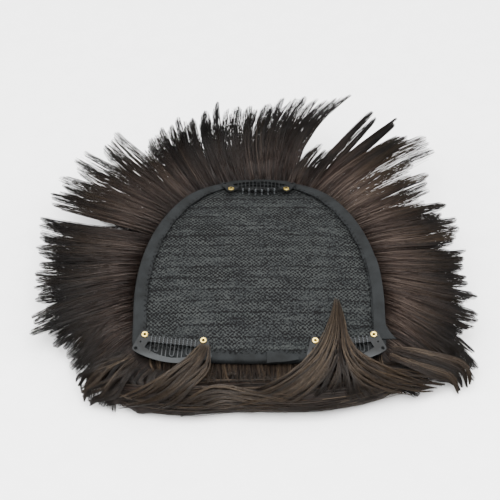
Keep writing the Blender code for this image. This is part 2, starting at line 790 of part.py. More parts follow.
def make_web():
    """Sheet of hair that joins the locks of the fan part of the way to their tips."""
    rings = []
    half = WEB_THICKNESS / 2
    for row in FAN_LOCKS:
        controls = row_curve(row)
        points = [bezier(controls, row["web"] * share) for share in (0.0, 0.4, 0.75, 1.0)]
        halves = [half, half, half, half / 3]
        top = [point + Vector((0.0, 0.0, part)) for point, part in zip(points, halves)]
        under = [point - Vector((0.0, 0.0, part)) for point, part in zip(points, halves)]
        rings.append(top + under[::-1])
    return add_object("web", loft(rings, "web"))


def make_fan():
    """The locks of the table, the web between them and the lower locks that droop to the table."""
    locks = [make_web()]
    for row in FAN_LOCKS:
        locks.append(fan_lock(row_curve(row), row["width"] * LOCK_WIDTH, LOCK_THICKNESS))
    for bearing in range(LOWER_FIRST, LOWER_LAST + 1, LOWER_STEP):
        share = LOWER_REACH + LOWER_WAVE * math.sin(math.radians(5 * bearing))
        reach = share * HAIR_REACH
        controls = lock_curve(bearing, bearing, reach, LOWER_TIP_HEIGHT, 0.0, LOCK_THICKNESS)
        for point in controls[:3]:
            point.z -= LOCK_THICKNESS
        locks.append(fan_lock(controls, LOWER_WIDTH * LOCK_WIDTH, LOCK_THICKNESS))
    return locks


def front_point(row, height):
    """Point of the front hair from its shares across and ahead of the cap's middle."""
    return Vector((row["across"] * CAP_WIDTH / 2, -row["ahead"] * CAP_LENGTH / 2, height))


def along_rows(rows, column, count):
    """Read a column of the rows at evenly spaced places, from the first row to the last."""
    values = []
    for i in range(count):
        share = i * (len(rows) - 1) / (count - 1)
        k = min(int(share), len(rows) - 2)
        values.append(rows[k][column] + (rows[k + 1][column] - rows[k][column]) * (share - k))
    return values


def make_roll():
    """Roll of hair swept across the front, resting on the table."""
    points = [front_point(row, row["height"] * ROLL_HEIGHT / 2) for row in ROLL_SECTIONS]
    path = smooth_path(points, FRONT_STEPS)
    widths = [ROLL_WIDTH * share for share in along_rows(ROLL_SECTIONS, "width", len(path))]
    tall = ROLL_HEIGHT * ROLL_FULLNESS
    heights = [tall * share for share in along_rows(ROLL_SECTIONS, "height", len(path))]
    return lock_solid(path, widths, heights, ROLL_SIDES)


def make_strays():
    """Locks that rise out of the roll and lie over the front clips."""
    locks = []
    for rows in STRAY_LOCKS.values():
        points = [front_point(row, row["rise"] * CAP_HEIGHT) for row in rows]
        path = smooth_path(points, FRONT_STEPS)
        shares = along_rows(rows, "width", len(path))
        widths = [STRAY_WIDTH * share for share in shares]
        thicknesses = [STRAY_THICKNESS * min(1.0, max(share, 0.25)) for share in shares]
        locks.append(lock_solid(path, widths, thicknesses, LOCK_SIDES))
    return locks


def bed_top(x, y):
    """Height of the hair under the cap, clear of the folded tape."""
    return cap_surface(x, y) - NET_WALL - TAPE_WALL - 2 * GAP


def pressed_top(x, y):
    """Height of the pressed bed, just under the space kept for the cap."""
    return bed_top(x, y) - GAP


def make_bed():
    """Hair pressed between the cap and the table: it bulges out past the rim at half height."""
    half_height = CAP_HEIGHT / 3
    layers = [
        (0.0, lambda x, y: 0.0),
        (BED_OVERHANG, lambda x, y: half_height / 2),
        (BED_OVERHANG, lambda x, y: half_height),
        (BED_OVERHANG / 2, lambda x, y: min(pressed_top(x, y), half_height * 1.5)),
        (-BED_OVERHANG / 2, pressed_top),
    ]
    bm = bmesh.new()
    counts = dict(back=18, sides=2, corner=1, front=6)
    loops = []
    for offset, height in layers:
        loops.append([bm.verts.new((x, y, height(x, y))) for x, y in cap_plan(offset, **counts)])
    for share in (0.75, 0.45, 0.2):
        inner = [(x * share, y * share) for x, y in cap_plan(-BED_OVERHANG / 2, **counts)]
        loops.append([bm.verts.new((x, y, pressed_top(x, y))) for x, y in inner])
    for one, other in zip(loops, loops[1:]):
        for i in range(len(one)):
            j = (i + 1) % len(one)
            bm.faces.new((one[i], one[j], other[j], other[i]))
    bm.faces.new(reversed(loops[0]))
    bm.faces.new(loops[-1])
    return add_object("hair", mesh_from(bm, "hair"))


def keep_out(name, top):
    """Space of the cap and its clips, with clearance, up to a height over the net's face."""
    offset = CLIP_OVERHANG + GAP
    return add_object(name, domed_slab(name, offset, top, bed_top))


def clip_stack(x, y):
    """Height that clears the clips and their eyelets."""
    stack = 3 * GAP + TAPE_WALL + TAIL_WALL + CLIP_WALL + TOOTH_WALL + TOOTH_RISE + EYELET_FLANGE
    return cap_surface(x, y) + stack


def sky(x, y):
    """Height above everything."""
    return 4 * CAP_HEIGHT


def fill_pockets(mesh):
    """Keep only the outermost shell, so that closed pockets inside the hair are solid."""
    bm = bmesh.new()
    bm.from_mesh(mesh)
    loose = set(bm.verts)
    shells = []
    while loose:
        shell = set()
        front = [next(iter(loose))]
        while front:
            vertex = front.pop()
            if vertex in shell:
                continue
            shell.add(vertex)
            front += [edge.other_vert(vertex) for edge in vertex.link_edges]
        loose -= shell
        shells.append(shell)
    outer = max(shells, key=len)
    bmesh.ops.delete(bm, geom=[v for v in bm.verts if v not in outer], context="VERTS")
    bm.to_mesh(mesh)
    bm.free()


def make_hair(finish):
    """All the hair as one body: bed, fan and roll cut clear of the cap, then the stray locks."""
    bed = make_bed()
    hair = combine(bed, make_fan() + [make_roll()], "UNION")
    hair = combine(hair, [keep_out("cap_space", sky)], "DIFFERENCE")
    strays = []
    for lock in make_strays():
        strays.append(combine(lock, [keep_out("cap_space", clip_stack)], "DIFFERENCE"))
    hair = combine(hair, strays, "UNION")
    span = 4 * HAIR_REACH
    below = plate([(-span, -span), (span, -span), (span, span), (-span, span)], "floor_cut", -span, 0.0)
    hair = combine(hair, [below], "DIFFERENCE")
    hair.name = "hair"
    fill_pockets(hair.data)
    hair.data.materials.append(finish)
    shade(hair.data, 50)
    return hair


def centre_on_footprint():
    """Move everything so that the origin is the middle of the footprint, on the table top."""
    bpy.context.view_layer.update()
    corners = []
    for item in bpy.data.objects:
        corners += [item.matrix_world @ vertex.co for vertex in item.data.vertices]
    low = Vector([min(c[i] for c in corners) for i in range(3)])
    high = Vector([max(c[i] for c in corners) for i in range(3)])
    shift = Matrix.Translation((-(low.x + high.x) / 2, -(low.y + high.y) / 2, -low.z))
    for item in bpy.data.objects:
        item.matrix_world = shift @ item.matrix_world


def main():
    """Build the toupee."""
    clear_scene()
    net_cloth = material("net_cloth", (0.045, 0.050, 0.053), 0.85)
    tape_cloth = material("tape_cloth", (0.060, 0.067, 0.070), 0.80)
    painted_steel = material("painted_steel", (0.070, 0.073, 0.076), 0.45)
    brass = material("brass", (0.78, 0.55, 0.20), 0.25, 1.0)
    dark_hair = material("dark_hair", (0.032, 0.022, 0.018), 0.45)
    make_net(net_cloth)
    make_binding(tape_cloth)
    make_tape_tail(tape_cloth)
    make_tape_tag(tape_cloth)
    make_clips(painted_steel, brass)
    make_hair(dark_hair)
    centre_on_footprint()


main()
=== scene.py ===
"""The finish of a clip-in toupee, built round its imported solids.

The lining side is up: a knitted net cap bound with tape, with comb clips and brass eyelets on it.
Dark hair fans out under it on three sides and is swept into a roll across the front.
"""

import logging
import math
from collections.abc import Sequence
from dataclasses import dataclass, field, replace
from enum import Enum

import bmesh
import bpy
import numpy as np
from bpy.types import Material, Mesh, Node, NodeSocket, Object
from mathutils import Euler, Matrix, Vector
from mathutils.bvhtree import BVHTree


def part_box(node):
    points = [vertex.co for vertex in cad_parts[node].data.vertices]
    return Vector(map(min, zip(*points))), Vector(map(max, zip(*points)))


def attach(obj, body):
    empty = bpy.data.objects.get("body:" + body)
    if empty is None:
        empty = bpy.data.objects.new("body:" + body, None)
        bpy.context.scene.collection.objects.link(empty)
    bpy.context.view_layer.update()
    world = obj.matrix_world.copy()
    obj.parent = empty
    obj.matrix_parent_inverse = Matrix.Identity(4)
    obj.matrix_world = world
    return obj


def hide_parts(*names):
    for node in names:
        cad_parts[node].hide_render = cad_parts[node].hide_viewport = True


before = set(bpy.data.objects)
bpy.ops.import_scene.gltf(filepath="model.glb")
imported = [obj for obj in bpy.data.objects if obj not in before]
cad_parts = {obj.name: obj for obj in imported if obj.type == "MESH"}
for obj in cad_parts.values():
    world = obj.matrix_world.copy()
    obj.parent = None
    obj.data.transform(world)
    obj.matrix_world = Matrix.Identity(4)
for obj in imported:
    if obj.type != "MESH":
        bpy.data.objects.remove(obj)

LOG = logging.getLogger("toupee")
MM = 0.001
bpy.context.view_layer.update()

Setting = float | int | str | bool | tuple[float, ...]
Array = np.ndarray


# Colours and nodes


def linear(code: str) -> tuple[float, float, float, float]:
    """Turn an sRGB hex colour into linear values.

    Args:
        code: six hex digits.

    Returns:
        Linear red, green and blue, and an alpha of 1.
    """
    values = []
    for start in (0, 2, 4):
        share = int(code[start : start + 2], 16) / 255
        values.append(share / 12.92 if share <= 0.04045 else ((share + 0.055) / 1.055) ** 2.4)
    return (values[0], values[1], values[2], 1.0)


@dataclass
class Recipe:
    """A material being made: its nodes and links."""

    name: str
    material: Material = field(init=False)

    def __post_init__(self) -> None:
        """Make the empty material."""
        self.material = bpy.data.materials.new(self.name)
        self.material.use_nodes = True

    @property
    def shader(self) -> Node:
        """The material's own Principled shader."""
        return self.material.node_tree.nodes["Principled BSDF"]

    def add(
        self, kind: str, settings: dict[str, Setting] | None = None, *values: object, **inputs: object
    ) -> Node:
        """Add a node.

        Args:
            kind: the node's type name, without the ShaderNode prefix.
            settings: the node's own properties.
            values: values or sources for its first sockets, in order.
            inputs: values or sources for named sockets. Underscores stand for spaces.

        Returns:
            The new node.
        """
        node = self.material.node_tree.nodes.new("ShaderNode" + kind)
        for key, value in (settings or {}).items():
            setattr(node, key, value)
        named = {key.replace("_", " "): value for key, value in inputs.items()}
        for key, value in (dict(enumerate(values)) | named).items():
            if isinstance(value, NodeSocket):
                self.material.node_tree.links.new(value, node.inputs[key])
            else:
                node.inputs[key].default_value = value
        return node

    def math(self, kind: str, *values: object) -> NodeSocket:
        """Add a Math node and return its value."""
        return self.add("Math", {"operation": kind}, *values).outputs[0]

    def vector(self, kind: str, *values: object, **inputs: object) -> NodeSocket:
        """Add a Vector Math node and return its vector."""
        return self.add("VectorMath", {"operation": kind}, *values, **inputs).outputs[0]

    def span(self, *values: object) -> NodeSocket:
        """Map a value between two limits to 0 to 1, or to two more limits."""
        return self.add("MapRange", None, *values).outputs["Result"]

    def mix(self, *values: object, blend: str = "MIX") -> NodeSocket:
        """Blend two colours by a share, which comes first, and return the colour."""
        return self.add("MixRGB", {"blend_type": blend}, *values).outputs["Color"]

    def place(self) -> NodeSocket:
        """Add the piece's Object coordinates."""
        return self.add("TexCoord").outputs["Object"]

    def noise(self, place: NodeSocket, size_mm: float, detail: float) -> NodeSocket:
        """Add noise of a size in millimetres and return its value."""
        return self.add("TexNoise", Vector=place, Scale=1 / (size_mm * MM), Detail=detail).outputs["Fac"]

    def waves(self, place: NodeSocket, period_mm: float, direction: str, **inputs: float) -> NodeSocket:
        """Add straight waves.

        Args:
            place: the coordinates that they read.
            period_mm: how far apart they are, in millimetres.
            direction: the axis that they run across.
            inputs: values for the other sockets.

        Returns:
            Their value.
        """
        bands = {"wave_type": "BANDS", "bands_direction": direction}
        # The texture has one band in every pi / 10 of its coordinates
        scale = math.pi / (10 * (period_mm * MM))
        return self.add("TexWave", bands, Vector=place, Scale=scale, **inputs).outputs["Fac"]

    def roughen(self, height: NodeSocket, strength: float, depth_mm: float) -> None:
        """Bump the surface by a height, whose full range is a depth in millimetres."""
        bump = self.add("Bump", Height=height, Strength=strength, Distance=depth_mm * MM)
        self.link(bump.outputs["Normal"], "Normal")

    def ramp(self, factor: NodeSocket, *stops: tuple[float, str]) -> NodeSocket:
        """Colour a factor.

        Args:
            factor: the socket that drives the ramp.
            stops: places from 0 to 1 and their hex colours, at least two.

        Returns:
            The ramp's colour.
        """
        node = self.add("ValToRGB", Fac=factor)
        band = node.color_ramp
        while len(band.elements) < len(stops):
            band.elements.new(0.5)
        for element, (place, code) in zip(band.elements, stops):
            element.position = place
            element.color = linear(code)
        return node.outputs["Color"]

    def link(self, source: NodeSocket, socket: str) -> None:
        """Link a source to one of the shader's sockets."""
        self.material.node_tree.links.new(source, self.shader.inputs[socket])

    def fix(self, **values: object) -> None:
        """Set constant values on the shader's own sockets."""
        for key, value in values.items():
            self.shader.inputs[key.replace("_", " ")].default_value = value


# Finishes


@dataclass(frozen=True)
class HairFinish:
    """Dark brown synthetic hair: fine smooth fibres, glossy only where many lie side by side.

    Each strand has its own tone. The hair is browner at the cap than at its ends, and the change
    lies between two shares of its length. A painted shade darkens its roots, a painted highlight
    brightens a band along its middle where the hair bends over, and the tips warm its ends.
    """

    name: str
    root_dark: str
    root_middle: str
    root_light: str
    end_dark: str
    end_middle: str
    end_light: str
    change: tuple[float, float] = (0.3, 0.75)
    # Colour at the roots of the painted shade and sheen band: painted shade where the hair leaves the cap
    painted_shade_and_sheen: str = "a0a0a0"
    tips: str = "dad0c2"
    roughness: float = 0.38
    level: float = 0.16

    def make(self) -> Material:
        """Make the material. It reads the strands' own tone and run attributes.

        Returns:
            The material.
        """
        recipe = Recipe(self.name)
        tone = recipe.add("Attribute", {"attribute_name": "tone"}).outputs["Fac"]
        run = recipe.add("Attribute", {"attribute_name": "run"}).outputs["Fac"]
        body = recipe.ramp(tone, (0.0, self.root_dark), (0.5, self.root_middle), (1.0, self.root_light))
        ends = recipe.ramp(tone, (0.0, self.end_dark), (0.5, self.end_middle), (1.0, self.end_light))
        mixed = recipe.mix(recipe.span(run, *self.change), body, ends)
        # Painted shade and sheen: darker roots, a painted highlight band peaking at 0.36 of the run,
        # fading to the warm tips
        painted_shade_and_sheen = recipe.ramp(run, (0.08, self.painted_shade_and_sheen), (0.36, "ffffff"), (0.62, self.tips))
        recipe.link(recipe.mix(1.0, mixed, painted_shade_and_sheen, blend="MULTIPLY"), "Base Color")
        recipe.fix(Roughness=self.roughness, Specular_IOR_Level=self.level)
        return recipe.material


FAN_HAIR = HairFinish(
    "dark_brown_fan_hair",
    root_dark="0d0a09",
    root_middle="2a211d",
    root_light="50453e",
    end_dark="030202",
    end_middle="0a0706",
    end_light="2b2317",
)
FRONT_HAIR = HairFinish(
    "brown_front_hair",
    root_dark="0a0807",
    root_middle="201a16",
    root_light="4e4336",
    end_dark="060505",
    end_middle="181411",
    end_light="40362b",
    change=(0.0, 1.0),
    painted_shade_and_sheen="ffffff",
)


@dataclass(frozen=True)
class ShadeMassFinish:
    """The same hair as a mass, in painted shade: near black streaks that run with the locks, darker
    between them.
    """

    name: str = "packed_hair_painted_shade"
    # Dark brown hair darkened to near black: painted shade between the strands that lie over the mass
    dark: str = "060504"
    middle: str = "15110f"
    light: str = "2a211d"
    roughness: float = 0.55
    streak_mm: float = 0.9
    streak_length_mm: float = 26.0

    def make(self) -> Material:
        """Make the material. It reads the mass's own UV map, in metres across and along.

        Returns:
            The material.
        """
        recipe = Recipe(self.name)
        place = recipe.add("UVMap", {"uv_map": "flow"}).outputs["UV"]
        scale = (1 / (self.streak_mm * MM), 1 / (self.streak_length_mm * MM), 1.0)
        stretched = recipe.add("Mapping", Vector=place, Scale=scale).outputs["Vector"]
        noise = recipe.add("TexNoise", Vector=stretched, Scale=1.0, Detail=4.0, Roughness=0.6)
        streaks = noise.outputs["Fac"]
        colour = recipe.ramp(streaks, (0.3, self.dark), (0.52, self.middle), (0.75, self.light))
        recipe.link(colour, "Base Color")
        recipe.roughen(streaks, 0.6, 0.4)
        recipe.fix(Roughness=self.roughness, Specular_IOR_Level=0.06)
        return recipe.material


@dataclass(frozen=True)
class NetFinish:
    """Knitted polyester net: a diamond mesh of thin matt yarn, dark in its holes."""

    name: str = "knitted_polyester_net"
    hole: str = "020202"
    yarn: str = "121415"
    pale: str = "262827"
    roughness: float = 0.85
    mesh_mm: tuple[float, float] = (2.1, 1.9)
    warp_mm: float = 1.1
    row_mm: float = 6.6
    patch_mm: float = 9.0
    streak_mm: float = 1.8
    streak_stretch: tuple[float, float, float] = (0.1, 1.0, 1.0)
    grain_mm: float = 0.8
    slack_mm: float = 14.0
    # How much each part of the pattern adds to the yarn's height
    mesh_share: float = 0.14
    grain_share: float = 1.2
    streak_share: float = 0.6
    groove_share: float = -0.35
    patch_share: float = 0.3
    hole_share: float = 0.75
    open_share: float = -0.12

    def make(self) -> Material:
        """Make the material, on Object coordinates seen from above.

        The real mesh is about 1 mm wide. It is drawn 2 mm wide, so that it shows. The net's own
        attribute, open, tells where its holes are stretched open.

        Returns:
            The material.
        """
        recipe = Recipe(self.name)
        place = recipe.place()
        wander = recipe.add("TexNoise", Vector=place, Scale=1 / (2.5 * MM), Detail=3.0).outputs["Color"]
        shift = recipe.vector("SUBTRACT", wander, (0.5, 0.5, 0.5))
        moved = recipe.vector("ADD", place, recipe.vector("SCALE", shift, Scale=2 * self.warp_mm * MM))
        axes = recipe.add("SeparateXYZ", Vector=moved).outputs
        rows = [(axes["X"], self.mesh_mm[0]), (axes["Y"], self.mesh_mm[1]), (axes["Y"], self.row_mm)]
        across, along, row = (
            recipe.math("COSINE", recipe.math("MULTIPLY", axis, 2 * math.pi / (period * MM)))
            for axis, period in rows
        )
        diamonds = recipe.math("MULTIPLY", across, along)
        grain = recipe.noise(place, self.grain_mm, 2.0)
        patch = recipe.noise(place, self.patch_mm, 4.0)
        streaks = recipe.noise(recipe.vector("MULTIPLY", moved, self.streak_stretch), self.streak_mm, 2.0)
        stretched = recipe.add("Attribute", {"attribute_name": "open"}).outputs["Fac"]
        groove = recipe.span(row, 0.86, 1.0)
        slack = recipe.span(recipe.noise(place, self.slack_mm, 3.0), 0.42, 0.62)
        opening = recipe.math("MULTIPLY_ADD", slack, 0.6, stretched)
        holes = recipe.math("MINIMUM", diamonds, 0.2)
        height = -0.1
        for part, share in (
            (diamonds, self.mesh_share),
            (grain, self.grain_share),
            (streaks, self.streak_share),
            (recipe.math("MULTIPLY", groove, patch), self.groove_share),
            (patch, self.patch_share),
            (recipe.math("MULTIPLY", holes, opening), self.hole_share),
            (stretched, self.open_share),
        ):
            height = recipe.math("MULTIPLY_ADD", part, share, height)
        level = recipe.span(height, 0.74, 1.16)
        colour = recipe.ramp(level, (0.0, self.hole), (0.35, self.yarn), (1.0, self.pale))
        recipe.link(colour, "Base Color")
        recipe.roughen(level, 0.6, 0.5)
        recipe.fix(Roughness=self.roughness, Specular_IOR_Level=0.12)
        return recipe.material


@dataclass(frozen=True)
class TapeFinish:
    """Woven polyester tape: a fine matt twill, a little paler where it is rubbed."""

    name: str = "woven_polyester_tape"
    dark: str = "050606"
    light: str = "151718"
    roughness: float = 0.78
    thread_mm: float = 0.6
    wear_mm: float = 7.0
    crease_mm: float = 2.5

    def make(self) -> Material:
        """Make the material, on Object coordinates.

        Real threads are 0.2 mm apart. They are drawn 0.6 mm apart, so that they show.

        Returns:
            The material.
        """
        recipe = Recipe(self.name)
        place = recipe.place()
        slope = (0.0, 0.0, math.radians(38))
        turned = recipe.add("Mapping", Vector=place, Rotation=slope).outputs["Vector"]
        twill = recipe.waves(turned, self.thread_mm, "X", Distortion=0.6, Detail=2.0)
        blend = recipe.math("MULTIPLY_ADD", twill, 0.3, recipe.noise(place, self.wear_mm, 5.0))
        recipe.link(recipe.ramp(blend, (0.35, self.dark), (0.85, self.light)), "Base Color")
        crease = recipe.noise(place, self.crease_mm, 2.0)
        recipe.roughen(recipe.math("MULTIPLY_ADD", crease, 4.0, twill), 0.5, 0.15)
        recipe.fix(Roughness=self.roughness, Specular_IOR_Level=0.15)
        return recipe.material


@dataclass(frozen=True)
class ThreadFinish:
    """Twisted polyester sewing thread with a slight gloss."""

    name: str
    dark: str
    light: str
    roughness: float = 0.6
    twist_mm: float = 0.7

    def make(self) -> Material:
        """Make the material, on Object coordinates, with the thread's twist as a wave.

        Returns:
            The material.
        """
        recipe = Recipe(self.name)
        twist = recipe.waves(recipe.place(), self.twist_mm, "DIAGONAL", Distortion=1.0)
        recipe.link(recipe.ramp(twist, (0.1, self.dark), (0.9, self.light)), "Base Color")
        recipe.fix(Roughness=self.roughness, Specular_IOR_Level=0.1)
        return recipe.material


@dataclass(frozen=True)
class PaintedSteelFinish:
    """Spring steel dipped in black paint: satin, with thin worn patches that look grey."""

    painted_highlight_from: float
    painted_highlight_to: float
    name: str = "painted_spring_steel"
    paint: str = "070808"
    worn: str = "141617"
    # Colour of the painted highlight on the front clips' bowed edge
    painted_highlight: str = "232526"
    roughness: float = 0.5
    wear_mm: float = 3.0
    peel_mm: float = 0.6

    def make(self) -> Material:
        """Make the material: worn paint, with a painted highlight on the front clips' bowed edge, which
        faces the light.

        Returns:
            The material.
        """
        recipe = Recipe(self.name)
        place = recipe.place()
        wear = recipe.add(
            "TexNoise", Vector=place, Scale=1 / (self.wear_mm * MM), Detail=6.0, Roughness=0.7
        ).outputs["Fac"]
        paint = recipe.ramp(wear, (0.4, self.paint), (0.72, self.worn))
        # Painted highlight: paler towards the front, on the front clips' bowed edge that faces the light
        along = recipe.add("SeparateXYZ", Vector=place).outputs["Y"]
        edge = recipe.span(along, self.painted_highlight_from, self.painted_highlight_to, 1.0, 0.0)
        recipe.link(recipe.mix(edge, paint, linear(self.painted_highlight)), "Base Color")
        recipe.link(recipe.span(wear, 0.0, 1.0, self.roughness - 0.08, 0.55), "Roughness")
        recipe.roughen(recipe.noise(place, self.peel_mm, 2.0), 0.12, 0.1)
        recipe.fix(Specular_IOR_Level=0.16)
        return recipe.material


@dataclass(frozen=True)
class BrassFinish:
    """Polished rolled brass: warm, bright, with fine rub marks."""

    name: str = "polished_brass"
    bright: str = "e6cf7c"
    dull: str = "a08334"
    roughness: float = 0.25
    rub_mm: float = 0.9

    def make(self) -> Material:
        """Make the material, with uneven polish.

        Returns:
            The material.
        """
        recipe = Recipe(self.name)
        rub = recipe.noise(recipe.place(), self.rub_mm, 4.0)
        recipe.link(recipe.ramp(rub, (0.35, self.dull), (0.7, self.bright)), "Base Color")
        recipe.link(recipe.span(rub, 0.0, 1.0, self.roughness, 0.4), "Roughness")
        recipe.fix(Metallic=1.0)
        return recipe.material


@dataclass(frozen=True)
class TableFinish:
    """Matt white card with a very faint grain."""

    name: str = "white_card"
    white: str = "fbfbfb"
    grain: str = "f7f7f7"

    def make(self) -> Material:
        """Make the material.

        Returns:
            The material.
        """
        recipe = Recipe(self.name)
        noise = recipe.add("TexNoise", Vector=recipe.place(), Scale=90.0, Detail=3.0).outputs["Fac"]
        recipe.link(recipe.ramp(noise, (0.3, self.grain), (0.7, self.white)), "Base Color")
        recipe.fix(Roughness=0.9)
        return recipe.material


# The cap's form, shared by all the pieces that lie on it


@dataclass(frozen=True)
class CapForm:
    """Sizes and surface of the cap, in metres, as the solids have them."""

    centre: tuple[float, float]
    width: float = 121 * MM
    length: float = 118 * MM
    round_end: float = 88 * MM
    front_bow: float = 4.5 * MM
    corner: float = 7 * MM
    height: float = 30.6 * MM
    bend: float = 259 * MM
    crest_from_back: float = 33 * MM
    curl_length: float = 23 * MM
    curl_drop: float = 5.5 * MM
    side_drop: float = 2 * MM
    wall: float = 1.2 * MM
    tape: float = 0.8 * MM
    gap: float = 0.3 * MM

    def top(self, x: Array, y: Array) -> Array:
        """Height of the net's upper face over plan points about the cap's middle.

        Args:
            x: places across, from the cap's middle.
            y: places from front to back, from the cap's middle.

        Returns:
            Heights, one for each place.
        """
        crest = self.length / 2 - self.crest_from_back
        past = np.maximum(0.0, y - (self.length / 2 - self.curl_length))
        height = self.height - (y - crest) ** 2 / (2 * self.bend)
        height = height - self.curl_drop * (past / self.curl_length) ** 2
        return height - self.side_drop * (2 * x / self.width) ** 2

    def hair_top(self, x: Array, y: Array) -> Array:
        """Height of the hair under the folded tape."""
        return self.top(x, y) - self.wall - self.tape - 2 * self.gap

    def front(self, x: Array) -> Array:
        """Y of the bowed front edge."""
        return -self.length / 2 + self.front_bow * (2 * x / self.width) ** 2

    @property
    def front_corner(self) -> float:
        """Y of the front edge at the cap's side."""
        return float(self.front(np.array(self.width / 2)))

    def rim(self, count: int = 360) -> Array:
        """Evenly spaced points of the rim, anticlockwise from the right.

        Args:
            count: how many points.

        Returns:
            An array of plan points, one row each.
        """
        half = self.width / 2
        middle = self.length / 2 - self.round_end
        low = self.front_corner
        turn = np.linspace(0, math.pi, 90)
        points = [np.stack([half * np.cos(turn), middle + self.round_end * np.sin(turn)], 1)]
        bend = np.linspace(0, math.pi / 2, 8)
        left = np.stack(
            [-half + self.corner * (1 - np.cos(bend)), low + self.corner * (1 - np.sin(bend))], 1
        )
        x = np.linspace(-half + self.corner, half - self.corner, 40)
        points += [left, np.stack([x, self.front(x)], 1)[1:-1], left[::-1] * (-1, 1)]
        line = np.concatenate(points)
        line = np.concatenate([line, line[:1]])
        run = np.concatenate([[0], np.cumsum(np.linalg.norm(np.diff(line, axis=0), axis=1))])
        places = np.linspace(0, run[-1], count, endpoint=False)
        return np.stack([np.interp(places, run, line[:, i]) for i in (0, 1)], 1)

    def rim_at(self, bearing: float) -> Array:
        """Point of the rim at a bearing in degrees from the cap's middle.

        Args:
            bearing: degrees, anticlockwise from the right.

        Returns:
            A plan point.
        """
        rim = self.rim(1440)
        ray = np.array([math.cos(math.radians(bearing)), math.sin(math.radians(bearing))])
        unit = rim / np.linalg.norm(rim, axis=1)[:, None]
        return rim[np.argmax(unit @ ray)]

    def placed(self, points: Array) -> Array:
        """Move points from about the cap's middle to where the solids are."""
        return points + np.array([self.centre[0], self.centre[1], 0.0])


# Mesh helpers


def show(mesh: Mesh, finish: Material, slot: str, *nodes: str
) -> Object:
    """Add a finished piece that has its mesh's name.

    Args:
        mesh: its mesh, in place.
        finish: its material.
        slot: not used.
        nodes: the solids that it stands for.

    Returns:
        The new object.
    """
    mesh.materials.clear()
    mesh.materials.append(finish)
    piece = bpy.data.objects.new(mesh.name, mesh)
    bpy.context.scene.collection.objects.link(piece)
    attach(piece, "root")
    if nodes:
        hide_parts(*nodes)
    LOG.info("%s: %d faces", mesh.name, len(mesh.polygons))
    return piece


def sweep(name: str, rings: Sequence[Array], closed: bool) -> Mesh:
    """Skin rings of points by extruding the first one through the others.

    Args:
        name: the mesh's name.
        rings: arrays of points, all of one length.
        closed: whether the last ring joins the first, or both ends are capped.

    Returns:
        The mesh, with its faces outwards.
    """
    bm = bmesh.new()
    first = [bm.verts.new(point) for point in rings[0]]
    edges = [bm.edges.new((a, b)) for a, b in zip(first, first[1:] + first[:1])]
    loop = edges
    for ring in rings[1:]:
        made = bmesh.ops.extrude_edge_only(bm, edges=loop)["geom"]
        loop = [item for item in made if isinstance(item, bmesh.types.BMEdge)]
        verts = [item for item in made if isinstance(item, bmesh.types.BMVert)]
        for vert, point in zip(verts, ring):
            vert.co = point
    if closed:
        bmesh.ops.bridge_loops(bm, edges=loop + edges)
    else:
        bmesh.ops.contextual_create(bm, geom=edges)
        bmesh.ops.contextual_create(bm, geom=loop)
    bmesh.ops.recalc_face_normals(bm, faces=bm.faces)
    return finished(bm, name)


def tubes(name: str, paths: Array, radii: Array, tone: Array, run: Array, sides: int = 3
) -> Mesh:
    """Join many thin closed tubes in one mesh.

    Args:
        name: the mesh's name.
        paths: strand, step and axis.
        radii: strand and step.
        tone: one value for each strand, stored as the attribute tone.
        run: strand and step, stored as the attribute run.
        sides: sides of each tube.

    Returns:
        The mesh.
    """
    strands, steps, _ = paths.shape
    along = np.gradient(paths, axis=1)
    along /= np.maximum(np.linalg.norm(along, axis=2, keepdims=True), 1e-12)
    guide = np.where(np.abs(along[..., 2:3]) > 0.9, [[[1.0, 0.0, 0.0]]], [[[0.0, 0.0, 1.0]]])
    across = np.cross(along, guide)
    across /= np.maximum(np.linalg.norm(across, axis=2, keepdims=True), 1e-12)
    up = np.cross(across, along)
    turn = 2 * math.pi * np.arange(sides) / sides
    ring = (
        across[:, :, None] * np.cos(turn)[None, None, :, None]
        + up[:, :, None] * np.sin(turn)[None, None, :, None]
    )
    points = paths[:, :, None] + ring * radii[:, :, None, None]
    base = np.arange(strands)[:, None, None] * steps * sides
    level = np.arange(steps - 1)[None, :, None] * sides
    side = np.arange(sides)[None, None, :]
    other = (side + 1) % sides
    near, far = base + level, base + level + sides
    quads = np.stack([near + side, far + side, far + other, near + other], -1).reshape(-1, 4)
    cap = np.arange(strands)[:, None] * steps * sides
    near = cap + np.arange(sides)[None, :]
    far = cap + (steps - 1) * sides + np.arange(sides)[None, ::-1]
    loops = np.concatenate([quads.ravel(), near.ravel(), far.ravel()]).astype(np.int32)
    starts = np.concatenate(
        [np.arange(len(quads)) * 4, len(quads) * 4 + np.arange(2 * strands) * sides]
    ).astype(np.int32)
    mesh = bpy.data.meshes.new(name)
    mesh.vertices.add(points.size // 3)
    mesh.vertices.foreach_set("co", points.astype(np.float32).ravel())
    mesh.loops.add(len(loops))
    mesh.loops.foreach_set("vertex_index", loops)
    mesh.polygons.add(len(starts))
    mesh.polygons.foreach_set("loop_start", starts)
    mesh.update(calc_edges=True)
    mesh.shade_smooth()
    mark(mesh, "tone", np.repeat(tone, steps * sides))
    mark(mesh, "run", np.repeat(run.ravel(), sides))
    return mesh


def threads(name: str, paths: Array, radii: Array, sides: int = 3) -> Mesh:
    """Join tubes of one plain thread, without a tone or run of their own, in one mesh."""
    return tubes(name, paths, radii, np.zeros(len(radii)), np.zeros(radii.shape), sides)


def mark(mesh: Mesh, label: str, values: Array) -> None:
    """Give each point of a mesh a value that its material reads."""
    layer = mesh.attributes.new(label, "FLOAT", "POINT")
    layer.data.foreach_set("value", values.astype(np.float32))


